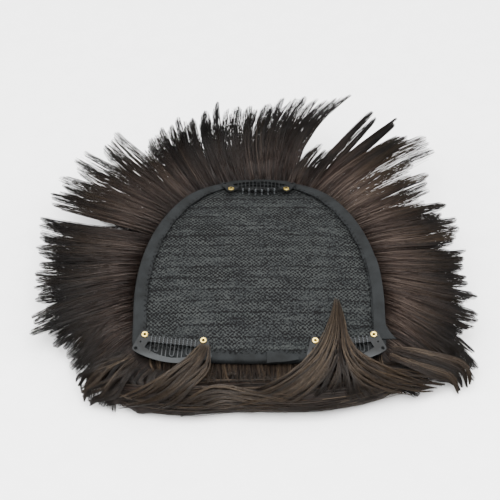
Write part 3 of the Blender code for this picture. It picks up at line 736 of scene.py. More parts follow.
def finished(bm: bmesh.types.BMesh, name: str) -> Mesh:
    """Turn a bmesh into a mesh with a name, and free it.

    Args:
        bm: the bmesh.
        name: its name.

    Returns:
        The mesh.
    """
    mesh = bpy.data.meshes.new(name)
    bm.to_mesh(mesh)
    bm.free()
    return mesh


# Hair

# How far wisps and strands stray from an even pattern: shares of the pitch, and of the tone
WISP_JITTER = 0.35
WISP_BLUR = 0.1
WISP_TONE_SPREAD = 0.11
STRAND_TONE_SPREAD = 0.13
# A few strands stray more than the rest
STRAY_SHARE = 0.04
STRAY_TIMES = 3.0
# Share of a strand's length from which it is drawn into its wisp
PULL_FROM = 0.2
# Shape of a lock's centre line: how far it runs level, and where and how high it turns to its tip
LEAVE_SHARE = 0.35
ARRIVE_SHARE = 0.4
ARRIVE_RISE = 0.55
GUIDE_POINTS = 48
# Steps between two bends of a front lock
BEND_STEPS = 16
HAIR_SLOT = "dark_hair"


@dataclass(frozen=True)
class Guide:
    """A lock's centre line, with its half width and half thickness as vectors at each point."""

    points: Array
    side: Array
    lift: Array

    @classmethod
    def round_line(cls, points: Array, half_width: Array, half_thickness: Array) -> "Guide":
        """Make a lock with level width round a centre line.

        Args:
            points: the centre line, one row a point.
            half_width: half of its width at each point.
            half_thickness: half of its thickness at each point.

        Returns:
            The lock.
        """
        along = np.gradient(points, axis=0)
        across = unit(np.cross(unit(along), [0.0, 0.0, 1.0]))
        up = np.cross(across, unit(along))
        return cls(points, across * half_width[:, None], up * half_thickness[:, None])

    @classmethod
    def between(cls, left: Array, right: Array, thickness: float) -> "Guide":
        """Make a broad lock between two edge lines.

        Args:
            left: one edge, one row a point.
            right: the other edge, with as many points.
            thickness: its thickness.

        Returns:
            The lock.
        """
        middle = (left + right) / 2
        side = (right - left) / 2
        up = unit(np.cross(side, np.gradient(middle, axis=0)))
        up = np.where(up[:, 2:3] < 0, -up, up)
        return cls(middle, side, up * thickness / 2)


@dataclass(frozen=True)
class Growth:
    """How strands fill a lock: shares of its length and width, and sizes in metres."""

    strands: int
    wisps: int = 6
    shortest: float = 0.93
    longest: float = 1.0
    ragged: float = 0.06
    rounding: float = 0.05
    gather: float = 0.85
    squeeze: float = 0.7
    slant: float = 0.0
    fray: float = 0.9 * MM
    wave: float = 0.2 * MM
    sway: float = 0.0
    sway_turns: float = 1.5
    radius: float = 0.12 * MM
    start: tuple[float, float] = (0.0, 0.42)
    low: float = -0.4
    high: float = 1.0
    tone: float = 0.4
    thin_root: float = 1.0
    steps: int = 7


def unit(vectors: Array) -> Array:
    """Scale vectors to length one."""
    return vectors / np.maximum(np.linalg.norm(vectors, axis=-1, keepdims=True), 1e-12)


def spread(values: Array, places: Array) -> Array:
    """Read rows of values at places from 0 to 1, carrying the last slope on past 1.

    Args:
        values: rows of numbers along a guide.
        places: an array of any shape.

    Returns:
        Values with one more axis than the places where the rows have one.
    """
    scaled = places * (len(values) - 1)
    low = np.clip(scaled.astype(int), 0, len(values) - 2)
    blend = scaled - low
    if values.ndim == 2:
        blend = blend[..., None]
    return values[low] * (1 - blend) + values[low + 1] * blend


def smooth_step(value: Array) -> Array:
    """Ease from 0 to 1."""
    value = np.clip(value, 0, 1)
    return value * value * (3 - 2 * value)


@dataclass
class StrandBatch:
    """Strands that are joined in one piece."""

    paths: list[Array] = field(default_factory=list)
    radii: list[Array] = field(default_factory=list)
    tones: list[Array] = field(default_factory=list)
    runs: list[Array] = field(default_factory=list)

    def grow(self, guide: Guide, growth: Growth, rng: np.random.Generator) -> None:
        """Fill a lock with strands that gather into wisps towards its tip.

        Args:
            guide: the lock.
            growth: how the strands fill it.
            rng: the source of random numbers.
        """
        count, steps = growth.strands, growth.steps
        pitch = 2 / growth.wisps
        wisp_side = np.arange(growth.wisps) * pitch + pitch / 2 - 1
        wisp_side = wisp_side + rng.uniform(-WISP_JITTER, WISP_JITTER, growth.wisps) * pitch
        wisp_level = rng.uniform(growth.low, growth.high, growth.wisps)
        wisp_length = rng.uniform(growth.shortest, growth.longest, growth.wisps)
        wisp_fray = rng.normal(0, growth.fray, (growth.wisps, 2))
        wisp_tone = rng.normal(growth.tone, WISP_TONE_SPREAD, growth.wisps)
        wisp_phase = rng.uniform(0, 2 * math.pi, (growth.wisps, 2))
        side = rng.uniform(-1.0, 1.0, count)
        level = rng.uniform(growth.low, growth.high, count)
        blur = rng.normal(0, WISP_BLUR * pitch, (count, 1))
        chosen = np.argmin(np.abs(side[:, None] + blur - wisp_side[None, :]), axis=1)
        start = rng.uniform(*growth.start, count)
        off = side - wisp_side[chosen]
        length = wisp_length[chosen] * (1 - growth.ragged * rng.uniform(0, 1, count) ** 2)
        length = length * (1 - growth.rounding * np.clip(2 * off / pitch, -1.5, 1.5) ** 2)
        length = length * (1 + growth.slant * side - abs(growth.slant))
        share = np.linspace(0, 1, steps)[None, :]
        place = start[:, None] + (length - start)[:, None] * share
        gathered = rng.uniform(0, 1, count) < growth.gather
        end_side = np.where(gathered, wisp_side[chosen] + off * growth.squeeze, side)
        closer = 0.6 * growth.squeeze
        end_level = np.where(gathered, wisp_level[chosen] * (1 - closer) + level * closer, level)
        pull = smooth_step((place - PULL_FROM) / (1 - PULL_FROM))
        u = side[:, None] * (1 - pull) + end_side[:, None] * pull
        v = level[:, None] * (1 - pull) + end_level[:, None] * pull
        round_off = np.sqrt(np.clip(1 - (u / 1.1) ** 2, 0.1, 1))
        stray = np.where(rng.uniform(0, 1, count) < STRAY_SHARE, STRAY_TIMES, 1.0)[:, None]
        late = np.clip(place, 0, 1.1) ** 2
        phase = rng.uniform(0, 2 * math.pi, (count, 2))
        turns = rng.uniform(0.6, 1.6, count)[:, None] * 2 * math.pi * place
        swing = 2 * math.pi * growth.sway_turns * place
        offsets = []
        for axis, scale in ((0, 1.0), (1, 0.5)):
            offset = scale * wisp_fray[chosen, axis][:, None] * late
            offset = offset + stray * growth.wave * np.sin(turns + phase[:, axis : axis + 1]) * late**0.5
            sway = np.sin(swing + wisp_phase[chosen, axis][:, None])
            offsets.append(offset + scale * growth.sway * sway * np.clip(place * 4, 0, 1))
        side_way, up_way = spread(guide.side, place), spread(guide.lift, place)
        paths = spread(guide.points, place) + side_way * u[..., None]
        paths = paths + up_way * (v * round_off)[..., None]
        paths = paths + unit(side_way) * offsets[0][..., None] + unit(up_way) * offsets[1][..., None]
        own = rng.uniform(0.75, 1.25, count)[:, None]
        taper = 1 - 0.5 * smooth_step((share - 0.5) / 0.5)
        taper = taper * (growth.thin_root + (1 - growth.thin_root) * smooth_step(share / 0.3))
        self.paths.append(paths)
        self.radii.append(growth.radius * own * taper)
        own_tone = rng.normal(0, STRAND_TONE_SPREAD, count)
        self.tones.append(np.clip(wisp_tone[chosen] + own_tone, 0, 1))
        self.runs.append(np.clip(place, 0, 1))

    def mesh(self, name: str, form: CapForm, floor: float = 0.25 * MM) -> Mesh:
        """Join the strands in one mesh.

        Args:
            name: the mesh's name.
            form: the cap, for its place.
            floor: the least height of a strand's middle line.

        Returns:
            The mesh.
        """
        paths = form.placed(np.concatenate(self.paths))
        paths[..., 2] = np.maximum(paths[..., 2], floor)
        return tubes(name, paths, *(np.concatenate(rows) for rows in (self.radii, self.tones, self.runs)))


@dataclass(frozen=True)
class Lock:
    """A lock of the fan. Bearings are in degrees, and the rest are shares, as in the solids."""

    tip: float
    root: float
    reach: float
    lift: float
    width: float
    curl: float = 0.0
    ends: float = 0.8
    full: float = 1.0


# Tip, root, reach, lift and width of each lock, from the right front round the back
FAN: tuple[Lock, ...] = (
    Lock(-39, -42, 0.80, 0.08, 1.00),
    Lock(-33, -29, 0.92, 0.06, 0.80, curl=0.10),
    Lock(-30, -24, 0.93, 0.14, 0.70, curl=0.08),
    Lock(-27, -20, 0.89, 0.24, 0.70, curl=0.03),
    Lock(-22, -17, 0.87, 0.32, 0.70, curl=0.02),
    Lock(-17, -13, 0.90, 0.36, 0.75),
    Lock(-11, -9, 0.87, 0.41, 0.75),
    Lock(-5, -4, 0.83, 0.43, 0.80),
    Lock(1, 2, 0.83, 0.45, 0.70),
    Lock(4, 5, 0.83, 0.48, 0.70),
    Lock(14, 17, 0.85, 0.54, 0.85, curl=0.03),
    Lock(21, 25, 0.83, 0.57, 0.80, curl=0.05),
    Lock(31, 35, 0.84, 0.64, 0.85, curl=0.05, full=0.65),
    Lock(41, 49, 0.94, 0.72, 1.00, curl=0.03, ends=1.0, full=0.6),
    Lock(51, 65, 0.92, 0.87, 0.22, curl=-0.03, ends=0.5, full=2.2),
    Lock(57, 67, 0.90, 0.91, 0.42, ends=0.45, full=1.3),
    Lock(61, 69, 0.66, 0.80, 0.50, full=0.5),
    Lock(65, 73, 0.96, 1.00, 0.45, curl=0.15),
    Lock(74, 79, 0.92, 0.99, 0.80, curl=0.10),
    Lock(84, 86, 0.87, 0.96, 0.90, curl=0.06),
    Lock(93, 93, 0.84, 0.93, 0.90, curl=0.04),
    Lock(103, 102, 0.85, 0.93, 0.60, ends=0.6),
    Lock(108, 109, 0.85, 0.86, 0.65),
    Lock(115, 116, 0.86, 0.79, 0.60),
    Lock(121, 123, 0.85, 0.74, 0.70),
    Lock(132, 131, 0.96, 0.69, 0.90, full=0.7),
    Lock(142, 139, 0.98, 0.60, 0.90, full=0.65),
    Lock(151, 147, 0.96, 0.54, 0.85, full=0.6),
    Lock(156, 153, 0.94, 0.50, 0.45, curl=-0.02),
    Lock(165, 165, 0.93, 0.46, 0.80),
    Lock(172, 171, 0.90, 0.44, 0.80),
    Lock(180, 179, 0.88, 0.41, 0.85),
    Lock(188, 186, 0.88, 0.37, 0.75),
    Lock(197, 193, 0.93, 0.29, 0.75, curl=0.05),
    Lock(202, 199, 0.88, 0.19, 0.90),
    Lock(210, 206, 0.84, 0.12, 1.00),
    Lock(218, 213, 0.85, 0.10, 1.00),
    Lock(227, 221, 0.87, 0.10, 1.00),
    Lock(236, 228, 0.78, 0.10, 1.00),
)


@dataclass(frozen=True)
class Bend:
    """A point on a front lock or roll: shares of half the cap's width and length, and sizes."""

    across: float
    ahead: float
    rise: float
    width: float = 1.0


def edge(*bends: tuple[float, ...]) -> tuple[Bend, ...]:
    """Make bends from their across, ahead and rise, and their width where it isn't 1."""
    return tuple(Bend(*bend) for bend in bends)


ROLL = edge(
    (-1.20, 1.06, 0.55, 0.60), (-0.95, 1.19, 0.80, 0.95), (-0.60, 1.22, 0.95, 1.05),
    (-0.15, 1.20, 0.95, 1.00), (0.35, 1.20, 1.05, 1.05), (0.75, 1.13, 1.00, 1.05),
    (1.10, 1.00, 0.80, 0.95), (1.40, 0.90, 0.45, 0.45),
)


@dataclass(frozen=True)
class Stream:
    """A broad lock of the front hair, drawn by its two edges from the cap down to the roll."""

    left: tuple[Bend, ...]
    right: tuple[Bend, ...]
    growth: Growth
    thickness: float = 3 * MM


# Most front locks are loose: their strands gather little and end at uneven places
LOOSE = Growth(strands=0, squeeze=1.0, gather=0.5, shortest=0.7, start=(0.0, 0.4))
LONG = replace(LOOSE, radius=0.085 * MM, thin_root=0.4, ragged=0.3, sway=0.7 * MM)

# The hair is parted at the right front clip and falls from there to the left and to the right
PART_LEFT = Stream(
    left=edge(
        (0.60, 0.44, 0.84), (0.54, 0.71, 0.77), (0.44, 0.95, 0.72), (0.26, 1.11, 0.59),
        (0.02, 1.25, 0.52), (-0.21, 1.29, 0.49), (-0.46, 1.34, 0.42),
    ),
    right=edge(
        (0.63, 0.47, 0.84), (0.64, 0.76, 0.77), (0.60, 0.97, 0.72), (0.51, 1.18, 0.57),
        (0.33, 1.33, 0.42), (0.07, 1.38, 0.23), (-0.29, 1.37, 0.16),
    ),
    growth=replace(LONG, strands=1500, wisps=22, tone=0.66),
)
PART_MIDDLE = Stream(
    left=edge(
        (0.61, 0.85, 0.76), (0.58, 1.04, 0.63), (0.48, 1.24, 0.51), (0.31, 1.34, 0.33),
    ),
    right=edge(
        (0.65, 0.85, 0.76), (0.72, 1.06, 0.63), (0.84, 1.21, 0.49), (1.01, 1.27, 0.26),
    ),
    growth=replace(
        LONG, strands=500, wisps=12, tone=0.40, radius=0.1 * MM, thin_root=1.0, start=(0.0, 0.3)
    ),
)
PART_RIGHT = Stream(
    left=edge(
        (0.63, 0.45, 0.84), (0.68, 0.68, 0.78), (0.72, 0.88, 0.76), (0.83, 1.02, 0.68),
        (1.03, 1.08, 0.54), (1.28, 1.12, 0.39),
    ),
    right=edge(
        (0.62, 0.49, 0.83), (0.64, 0.81, 0.76), (0.66, 1.01, 0.70), (0.75, 1.18, 0.57),
        (0.95, 1.26, 0.42), (1.25, 1.20, 0.20),
    ),
    growth=replace(LONG, strands=1150, wisps=16, tone=0.62),
)
LEFT_LOCK = Stream(
    left=edge(
        (-0.44, 0.88, 0.75), (-0.55, 1.01, 0.70), (-0.73, 1.13, 0.60), (-0.94, 1.26, 0.46),
        (-1.20, 1.31, 0.29),
    ),
    right=edge(
        (-0.38, 0.92, 0.74), (-0.39, 1.09, 0.65), (-0.50, 1.26, 0.56), (-0.70, 1.38, 0.36),
        (-1.05, 1.36, 0.16),
    ),
    growth=replace(LONG, strands=1100, wisps=16, tone=0.62, sway=0.8 * MM),
)
SWEEP = Stream(
    left=edge(
        (0.23, 1.34, 0.46), (-0.06, 1.28, 0.51), (-0.34, 1.25, 0.54), (-0.55, 1.32, 0.46),
        (-0.77, 1.36, 0.23),
    ),
    right=edge(
        (0.24, 1.37, 0.18), (-0.06, 1.36, 0.26), (-0.29, 1.35, 0.36), (-0.44, 1.37, 0.26),
        (-0.63, 1.38, 0.13),
    ),
    growth=replace(LOOSE, strands=800, wisps=12, tone=0.6, radius=0.09 * MM, ragged=0.3, sway=0.9 * MM),
)
CORNER_LEFT = Stream(
    left=edge(
        (-1.03, 0.92, 0.65), (-1.16, 0.95, 0.58), (-1.31, 1.00, 0.46), (-1.42, 1.06, 0.26),
        (-1.40, 1.17, 0.13),
    ),
    right=edge(
        (-0.91, 1.06, 0.62), (-1.05, 1.20, 0.46), (-1.14, 1.27, 0.29), (-1.25, 1.28, 0.16),
        (-1.35, 1.26, 0.10),
    ),
    growth=replace(
        LOOSE, strands=550, wisps=14, tone=0.42, sway=1.4 * MM, shortest=0.75, start=(0.0, 0.5)
    ),
)
RIGHT_BAND = Stream(
    left=edge(
        (0.74, 0.97, 0.72), (0.94, 1.03, 0.60), (1.17, 1.06, 0.46), (1.44, 1.08, 0.29),
    ),
    right=edge(
        (0.78, 1.13, 0.59), (0.97, 1.20, 0.42), (1.21, 1.17, 0.26), (1.48, 1.10, 0.13),
    ),
    growth=replace(LOOSE, strands=650, wisps=12, tone=0.52, sway=0.8 * MM, shortest=0.75),
)
CORNER_RIGHT = Stream(
    left=edge(
        (1.04, 0.88, 0.65), (1.26, 0.89, 0.59), (1.47, 0.88, 0.46), (1.64, 0.93, 0.29),
        (1.66, 1.13, 0.10),
    ),
    right=edge(
        (1.00, 1.00, 0.65), (1.17, 1.06, 0.52), (1.36, 1.09, 0.33), (1.48, 1.09, 0.23),
        (1.55, 1.13, 0.07),
    ),
    growth=Growth(
        strands=700, wisps=5, tone=0.40, squeeze=0.8, sway=0.5 * MM, shortest=0.9, start=(0.0, 0.4)
    ),
)
RIDGE = Stream(
    left=edge(
        (-0.84, 1.29, 0.39), (-0.46, 1.24, 0.49), (-0.07, 1.27, 0.51), (0.31, 1.32, 0.46),
        (0.70, 1.30, 0.46),
    ),
    right=edge(
        (-0.85, 1.36, 0.13), (-0.50, 1.37, 0.20), (-0.07, 1.34, 0.29), (0.31, 1.37, 0.21),
        (0.72, 1.35, 0.20),
    ),
    growth=replace(
        LOOSE, strands=700, wisps=20, tone=0.55, ragged=0.3, sway=1.1 * MM, sway_turns=2.2,
        shortest=0.35, start=(0.0, 0.6),
    ),
)
CURLS = Stream(
    left=edge(
        (-0.97, 1.06, 0.55), (-1.01, 1.15, 0.44), (-0.96, 1.22, 0.34), (-1.02, 1.30, 0.16),
    ),
    right=edge(
        (-0.51, 1.08, 0.52), (-0.66, 1.16, 0.42), (-0.71, 1.24, 0.30), (-0.84, 1.32, 0.14),
    ),
    growth=replace(
        LOOSE, strands=400, wisps=12, tone=0.3, sway=1.2 * MM, sway_turns=1.1, shortest=0.6,
        start=(0.0, 0.2),
    ),
)


@dataclass
class Hair:
    """The hair: a packed mass under the cap and strands in wisps that grow out of it."""

    form: CapForm
    reach: float = 128 * MM
    lift: float = 44 * MM
    lock_width: float = 20 * MM
    least_width: float = 0.3
    lock_thickness: float = 9 * MM
    root_depth: float = 8 * MM
    roll_width: float = 20 * MM
    roll_height: float = 14 * MM
    lower_first: int = -30
    lower_last: int = 210
    lower_step: int = 10
    lower_reach: float = 0.76
    lower_uneven: float = 0.03
    lower_tip: float = 3 * MM
    lower_widening: float = 1.6
    # Bearings in degrees with the share of the locks' length that the mass fills there
    mass_shares: tuple[tuple[float, float], ...] = (
        (-30, 0.5), (24, 0.5), (32, 0.3), (43, 0.15), (70, 0.15), (78, 0.4), (125, 0.4),
        (135, 0.33), (158, 0.33), (168, 0.48), (180, 0.5),
    )
    corner_share: float = 0.74
    under_draw: float = 0.45
    under_below: float = 14 * MM
    under_ease: float = 6 * MM
    flat_below: float = 16 * MM
    front_margin: float = 8 * MM
    front_cover: float = 14.5 * MM
    shrink: float = 0.5 * MM
    roll_from: float = 6 * MM
    mass_grain: float = 1.9 * MM
    lock_strands: int = 310
    fill_strands: int = 225
    fill_reach: float = 0.95
    fill_paler: float = 0.1
    fan_radius: float = 0.11 * MM
    # Bearings in degrees with the clockwise bend there in millimetres and the slant of the ends
    bends: tuple[tuple[float, float, float], ...] = (
        (-40, 0, -0.03), (-20, -7, -0.07), (25, -7, -0.07), (42, 2, 0.0), (56, 0, 0.0),
        (66, 2, 0.10), (80, 7, 0.12), (100, 12, 0.10), (120, 6, 0.08), (150, 4, 0.05),
        (182, 8, 0.03), (196, -5, -0.04), (212, -9, -0.08), (236, -10, -0.08),
    )
    open_bearings: tuple[tuple[float, float], ...] = ((47, 63), (158, 163), (98, 99))
    thin_bearings: tuple[float, ...] = (35, 145)
    thin_width: float = 12
    thin_tone: float = 0.2
    # Painted shade: the fan is darker round the back, where the far hair lies in shade
    shade_bearing: float = 92
    shade_width: float = 35
    shade_tone: float = 0.25
    fan_tone: float = 0.45
    droop_from: float = 196
    droop_width: float = 12
    seed: int = 11

    def curve(self, tip: float, root: float, reach: float, height: float, curl: float) -> Array:
        """Centre line of a lock that leaves the cap's rim square to it.

        Args:
            tip: bearing of its tip.
            root: bearing of its root.
            reach: the tip's distance from the cap's middle.
            height: the tip's height.
            curl: sideways bend, a share of its length.

        Returns:
            Points along it.
        """
        rim = self.form.rim_at(root)
        out = np.append(rim / np.linalg.norm(rim), 0.0)
        low = float(self.form.hair_top(rim[0], rim[1])) - self.lock_thickness / 2
        turn = math.radians(tip)
        end = np.array([math.cos(turn) * reach, math.sin(turn) * reach, height])
        start = np.array([rim[0], rim[1], low - self.lock_thickness / 4]) - out * self.root_depth
        span = float(np.linalg.norm(end - start))
        side = np.array([-out[1], out[0], 0.0]) * span * curl
        leave = start + out * span * LEAVE_SHARE + side
        leave[2] = low
        arrive = end + (leave - end) * ARRIVE_SHARE + side
        arrive[2] = leave[2] + (end[2] - leave[2]) * ARRIVE_RISE
        t = np.linspace(0, 1, GUIDE_POINTS)[:, None]
        rest = 1 - t
        return start * rest**3 + leave * 3 * rest**2 * t + arrive * 3 * rest * t**2 + end * t**3

    def fan_guide(self, lock: Lock) -> Guide:
        """A lock of the fan as a guide for strands.

        Args:
            lock: the lock.

        Returns:
            The guide.
        """
        reach, height = lock.reach * self.reach, lock.lift * self.lift
        points = self.curve(lock.tip, lock.root, reach, height, lock.curl)
        places = np.linspace(0, 1, len(points))
        stations = [0, 0.35, 0.65, 0.88, 1]
        taper = np.interp(places, stations, [0.8, 1.0, 1.0, 0.9, lock.ends])
        thin = np.interp(places, stations, [0.8, 1.0, 0.8, 0.45, 0.2])
        width = max(lock.width, self.least_width) * self.lock_width / 2
        turn = math.radians(lock.tip)
        clockwise = np.array([math.sin(turn), -math.cos(turn), 0.0])
        bend = self.bend_at(lock.tip)[0] * MM
        points = points + clockwise * bend * (places**4 - places)[:, None]
        return Guide.round_line(points, width * taper, self.lock_thickness / 2 * thin)

    def between(self, one: Lock, other: Lock) -> Lock:
        """A shorter lock that fills the space between two neighbours.

        Args:
            one: the first of them.
            other: the second of them.

        Returns:
            The lock.
        """
        mean = {
            key: (getattr(one, key) + getattr(other, key)) / 2
            for key in ("tip", "root", "lift", "width", "curl", "ends", "full")
        }
        return Lock(reach=min(one.reach, other.reach) * self.fill_reach, **mean)

    def front_path(self, bends: Sequence[Bend], rise: float) -> Array:
        """Smooth line through the bends of a front lock.

        Args:
            bends: its points.
            rise: the height that the bends' rise is a share of.

        Returns:
            Points along it.
        """
        half_width, half_length = self.form.width / 2, self.form.length / 2
        raw = np.array([(b.across * half_width, -b.ahead * half_length, b.rise * rise) for b in bends])
        ends = np.concatenate([[2 * raw[0] - raw[1]], raw, [2 * raw[-1] - raw[-2]]])
        made = []
        # A Catmull-Rom curve: each stretch passes from its second point to its third
        for a, b, c, d in zip(ends, ends[1:], ends[2:], ends[3:]):
            square, cube = 2 * a - 5 * b + 4 * c - d, 3 * b - a - 3 * c + d
            for t in np.linspace(0, 1, BEND_STEPS, endpoint=False):
                made.append(0.5 * (2 * b + (c - a) * t + square * t**2 + cube * t**3))
        made.append(raw[-1])
        return np.array(made)

    def front_guide(self, bends: Sequence[Bend], rise: float, width: float, thickness: float) -> Guide:
        """A front lock as a guide for strands.

        Args:
            bends: its points.
            rise: the height that the bends' rise is a share of.
            width: its width where a bend's width is 1.
            thickness: its thickness where a bend's width is 1.

        Returns:
            The guide.
        """
        points = self.front_path(bends, rise)
        places = np.linspace(0, len(bends) - 1, len(points))
        share = np.interp(places, range(len(bends)), [b.width for b in bends])
        return Guide.round_line(points, width * share / 2, thickness * np.maximum(share, 0.25) / 2)

    def stream_guide(self, stream: Stream) -> Guide:
        """A broad front lock as a guide for strands."""
        edges = [self.front_path(edge, self.form.height) for edge in (stream.left, stream.right)]
        return Guide.between(edges[0], edges[1], stream.thickness)

    def mass(self, finish: Material) -> None:
        """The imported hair: the solid's own form with its locks drawn in, then softened.

        Args:
            finish: its material.
        """
        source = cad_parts["hair"].data
        bm = bmesh.new()
        bm.from_mesh(source)
        bmesh.ops.remove_doubles(bm, verts=bm.verts, dist=0.01 * MM)
        centre = Vector((*self.form.centre, 0.0))
        half = self.form.width / 2
        front = -self.form.length / 2
        for vert in bm.verts:
            point = vert.co - centre
            if abs(point.x) < half + self.front_margin and point.y < 0:
                cover = float(self.form.hair_top(point.x, max(point.y, front))) - 1 * MM
                vert.co.z = min(vert.co.z, cover if point.y > front else self.front_cover)
            spot = Vector((point.x, max(point.y, front)))
            bearing = math.degrees(math.atan2(point.y, point.x))
            rim = Vector(self.form.rim_at(bearing))
            past = spot.length - rim.length
            if past <= 0 or (point.y < front and abs(point.x) < half):
                continue
            full = float(smooth_step(np.array((-math.sin(math.radians(bearing)) - 0.3) / 0.25)))
            share = float(np.interp(bearing, *zip(*self.mass_shares)))
            low = float(smooth_step(np.array((self.under_below - point.z) / self.under_ease)))
            share = share + (self.corner_share - share) * full
            share *= 1 - self.under_draw * (low * (1 - full))
            keep = (rim.length + past * share) / spot.length
            vert.co.x = centre.x + point.x * keep
            vert.co.y = centre.y + point.y * keep
            base = min(point.z, self.flat_below)
            vert.co.z = base + (point.z - base) * share
        piece = show(finished(bm, "hair_mass"), finish, HAIR_SLOT, "hair")
        remesh = piece.modifiers.new("soften", "REMESH")
        remesh.mode = "VOXEL"
        remesh.voxel_size = self.mass_grain
        shrink = piece.modifiers.new("draw_in", "DISPLACE")
        shrink.strength = -self.shrink
        shrink.mid_level = 0.0
        settle = piece.modifiers.new("settle", "SMOOTH")
        settle.factor = 0.5
        settle.iterations = 4
        graph = bpy.context.evaluated_depsgraph_get()
        baked = bpy.data.meshes.new_from_object(piece.evaluated_get(graph))
        piece.modifiers.clear()
        piece.data = baked
        baked.shade_smooth()
        self.flow_map(baked)
        LOG.info("hair_mass softened: %d faces", len(baked.polygons))

    def flow_map(self, mesh: Mesh) -> None:
        """Give the mass a UV map in metres: across the flow of the hair, and along it.

        Args:
            mesh: the mesh.
        """
        co = np.zeros(len(mesh.vertices) * 3, np.float32)
        mesh.vertices.foreach_get("co", co)
        co = co.reshape(-1, 3) - np.array([*self.form.centre, 0.0])
        bearing = np.arctan2(co[:, 1], co[:, 0])
        distance = np.hypot(co[:, 0], co[:, 1])
        fan = np.stack([bearing * self.form.width / 2, distance], 1)
        roll = np.stack([(co[:, 1] + co[:, 2]) * 1.5 + 1.0, co[:, 0]], 1)
        is_roll = (co[:, 1] < -self.form.length / 2 - self.roll_from)[:, None]
        flow = np.where(is_roll, roll, fan)
        loops = np.zeros(len(mesh.loops), np.int32)
        mesh.loops.foreach_get("vertex_index", loops)
        layer = mesh.uv_layers.new(name="flow")
        layer.data.foreach_set("uv", flow[loops].astype(np.float32).ravel())

    def fan(self, finish: Material) -> None:
        """Strands of the fan, in four pieces from the right round to the left.

        Args:
            finish: its material.
        """
        parts = {
            "hair_fan_right": (-90, 12),
            "hair_fan_back_right": (12, 90),
            "hair_fan_back_left": (90, 160),
            "hair_fan_left": (160, 270),
        }
        fills = [self.between(a, b) for a, b in zip(FAN, FAN[1:]) if not self.open_gap(a, b)]
        rng = np.random.default_rng(self.seed)
        for name, (low, high) in parts.items():
            batch = StrandBatch()
            for locks, growth in ((FAN, self.lock_growth), (fills, self.fill_growth)):
                for lock in locks:
                    if low <= lock.tip < high:
                        batch.grow(self.fan_guide(lock), growth(lock), rng)
            show(batch.mesh(name, self.form), finish, HAIR_SLOT)

    def growth_at(self, bearing: float) -> Growth:
        """What all the strands of the fan share at a bearing.

        Args:
            bearing: degrees, anticlockwise from the right.

        Returns:
            How they grow.
        """
        slant, tone = self.bend_at(bearing)[1], self.tone_at(bearing)
        return Growth(strands=0, wisps=3, slant=slant, tone=tone, radius=self.fan_radius, steps=5)

    def lock_growth(self, lock: Lock) -> Growth:
        """How strands fill a lock of the fan: gathered, but loose and wavy where the fan droops.

        Args:
            lock: the lock.

        Returns:
            How they grow.
        """
        droop = self.droop_at(lock.tip)
        return replace(
            self.growth_at(lock.tip),
            strands=int(self.lock_strands * (0.3 + 0.7 * lock.width) * lock.full),
            rounding=0.04,
            gather=0.8 - 0.5 * droop,
            squeeze=0.9,
            sway=1.5 * MM * droop,
        )

    def fill_growth(self, lock: Lock) -> Growth:
        """How strands fill the space between two locks: loose, paler and of uneven length.

        Args:
            lock: the lock.

        Returns:
            How they grow.
        """
        shared = self.growth_at(lock.tip)
        return replace(
            shared,
            strands=int(self.fill_strands * lock.full),
            tone=shared.tone + self.fill_paler,
            shortest=0.9,
            longest=1.03,
            ragged=0.12,
            gather=0.4,
        )

    def bend_at(self, bearing: float) -> tuple[float, float]:
        """Clockwise bend in millimetres and slant of the ends of the fan at a bearing."""
        rows = list(zip(*self.bends))
        return float(np.interp(bearing, rows[0], rows[1])), float(np.interp(bearing, rows[0], rows[2]))

    def droop_at(self, bearing: float) -> float:
        """Share of the fan's soft droop at a bearing: all at the front left, none at the back."""
        return float(smooth_step(np.array((bearing - self.droop_from) / self.droop_width)))

    def tone_at(self, bearing: float) -> float:
        """Tone of the fan at a bearing: painted shade darkest at the back, paler where the hair is thin.

        Args:
            bearing: degrees, anticlockwise from the right.

        Returns:
            The tone.
        """
        thin = sum(math.exp(-(((bearing - spot) / self.thin_width) ** 2)) for spot in self.thin_bearings)
        # Painted shade on the far hair round the back
        dark = math.exp(-(((bearing - self.shade_bearing) / self.shade_width) ** 2))
        return self.fan_tone - self.shade_tone * dark + self.thin_tone * thin

    def open_gap(self, one: Lock, other: Lock) -> bool:
        """Whether the space between two locks stays open, as beside the lone lock at the right."""
        middle = (one.tip + other.tip) / 2
        return any(low < middle < high for low, high in self.open_bearings)

    def lower(self, finish: Material) -> None:
        """Strands under the fan that droop to the table.

        Args:
            finish: its material.
        """
        rng = np.random.default_rng(self.seed + 1)
        batch = StrandBatch()
        growth = Growth(strands=125, tone=0.35, radius=0.15 * MM, start=(0.1, 0.3), steps=5)
        for bearing in range(self.lower_first, self.lower_last + 1, self.lower_step):
            share = self.lower_reach + self.lower_uneven * math.sin(math.radians(5 * bearing))
            points = self.curve(bearing, bearing, share * self.reach, self.lower_tip, 0.0)
            drop = np.linspace(1, 0, len(points)) ** 0.5 * self.lock_thickness
            points[:, 2] -= drop
            places = np.linspace(0, 1, len(points))
            taper = np.interp(places, [0, 0.4, 0.8, 1], [0.8, 1.0, 0.8, 0.4])
            half_width = self.lower_widening * self.lock_width / 2 * taper
            guide = Guide.round_line(points, half_width, self.lock_thickness / 2 * taper)
            batch.grow(guide, growth, rng)
        show(batch.mesh("hair_lower", self.form), finish, HAIR_SLOT)

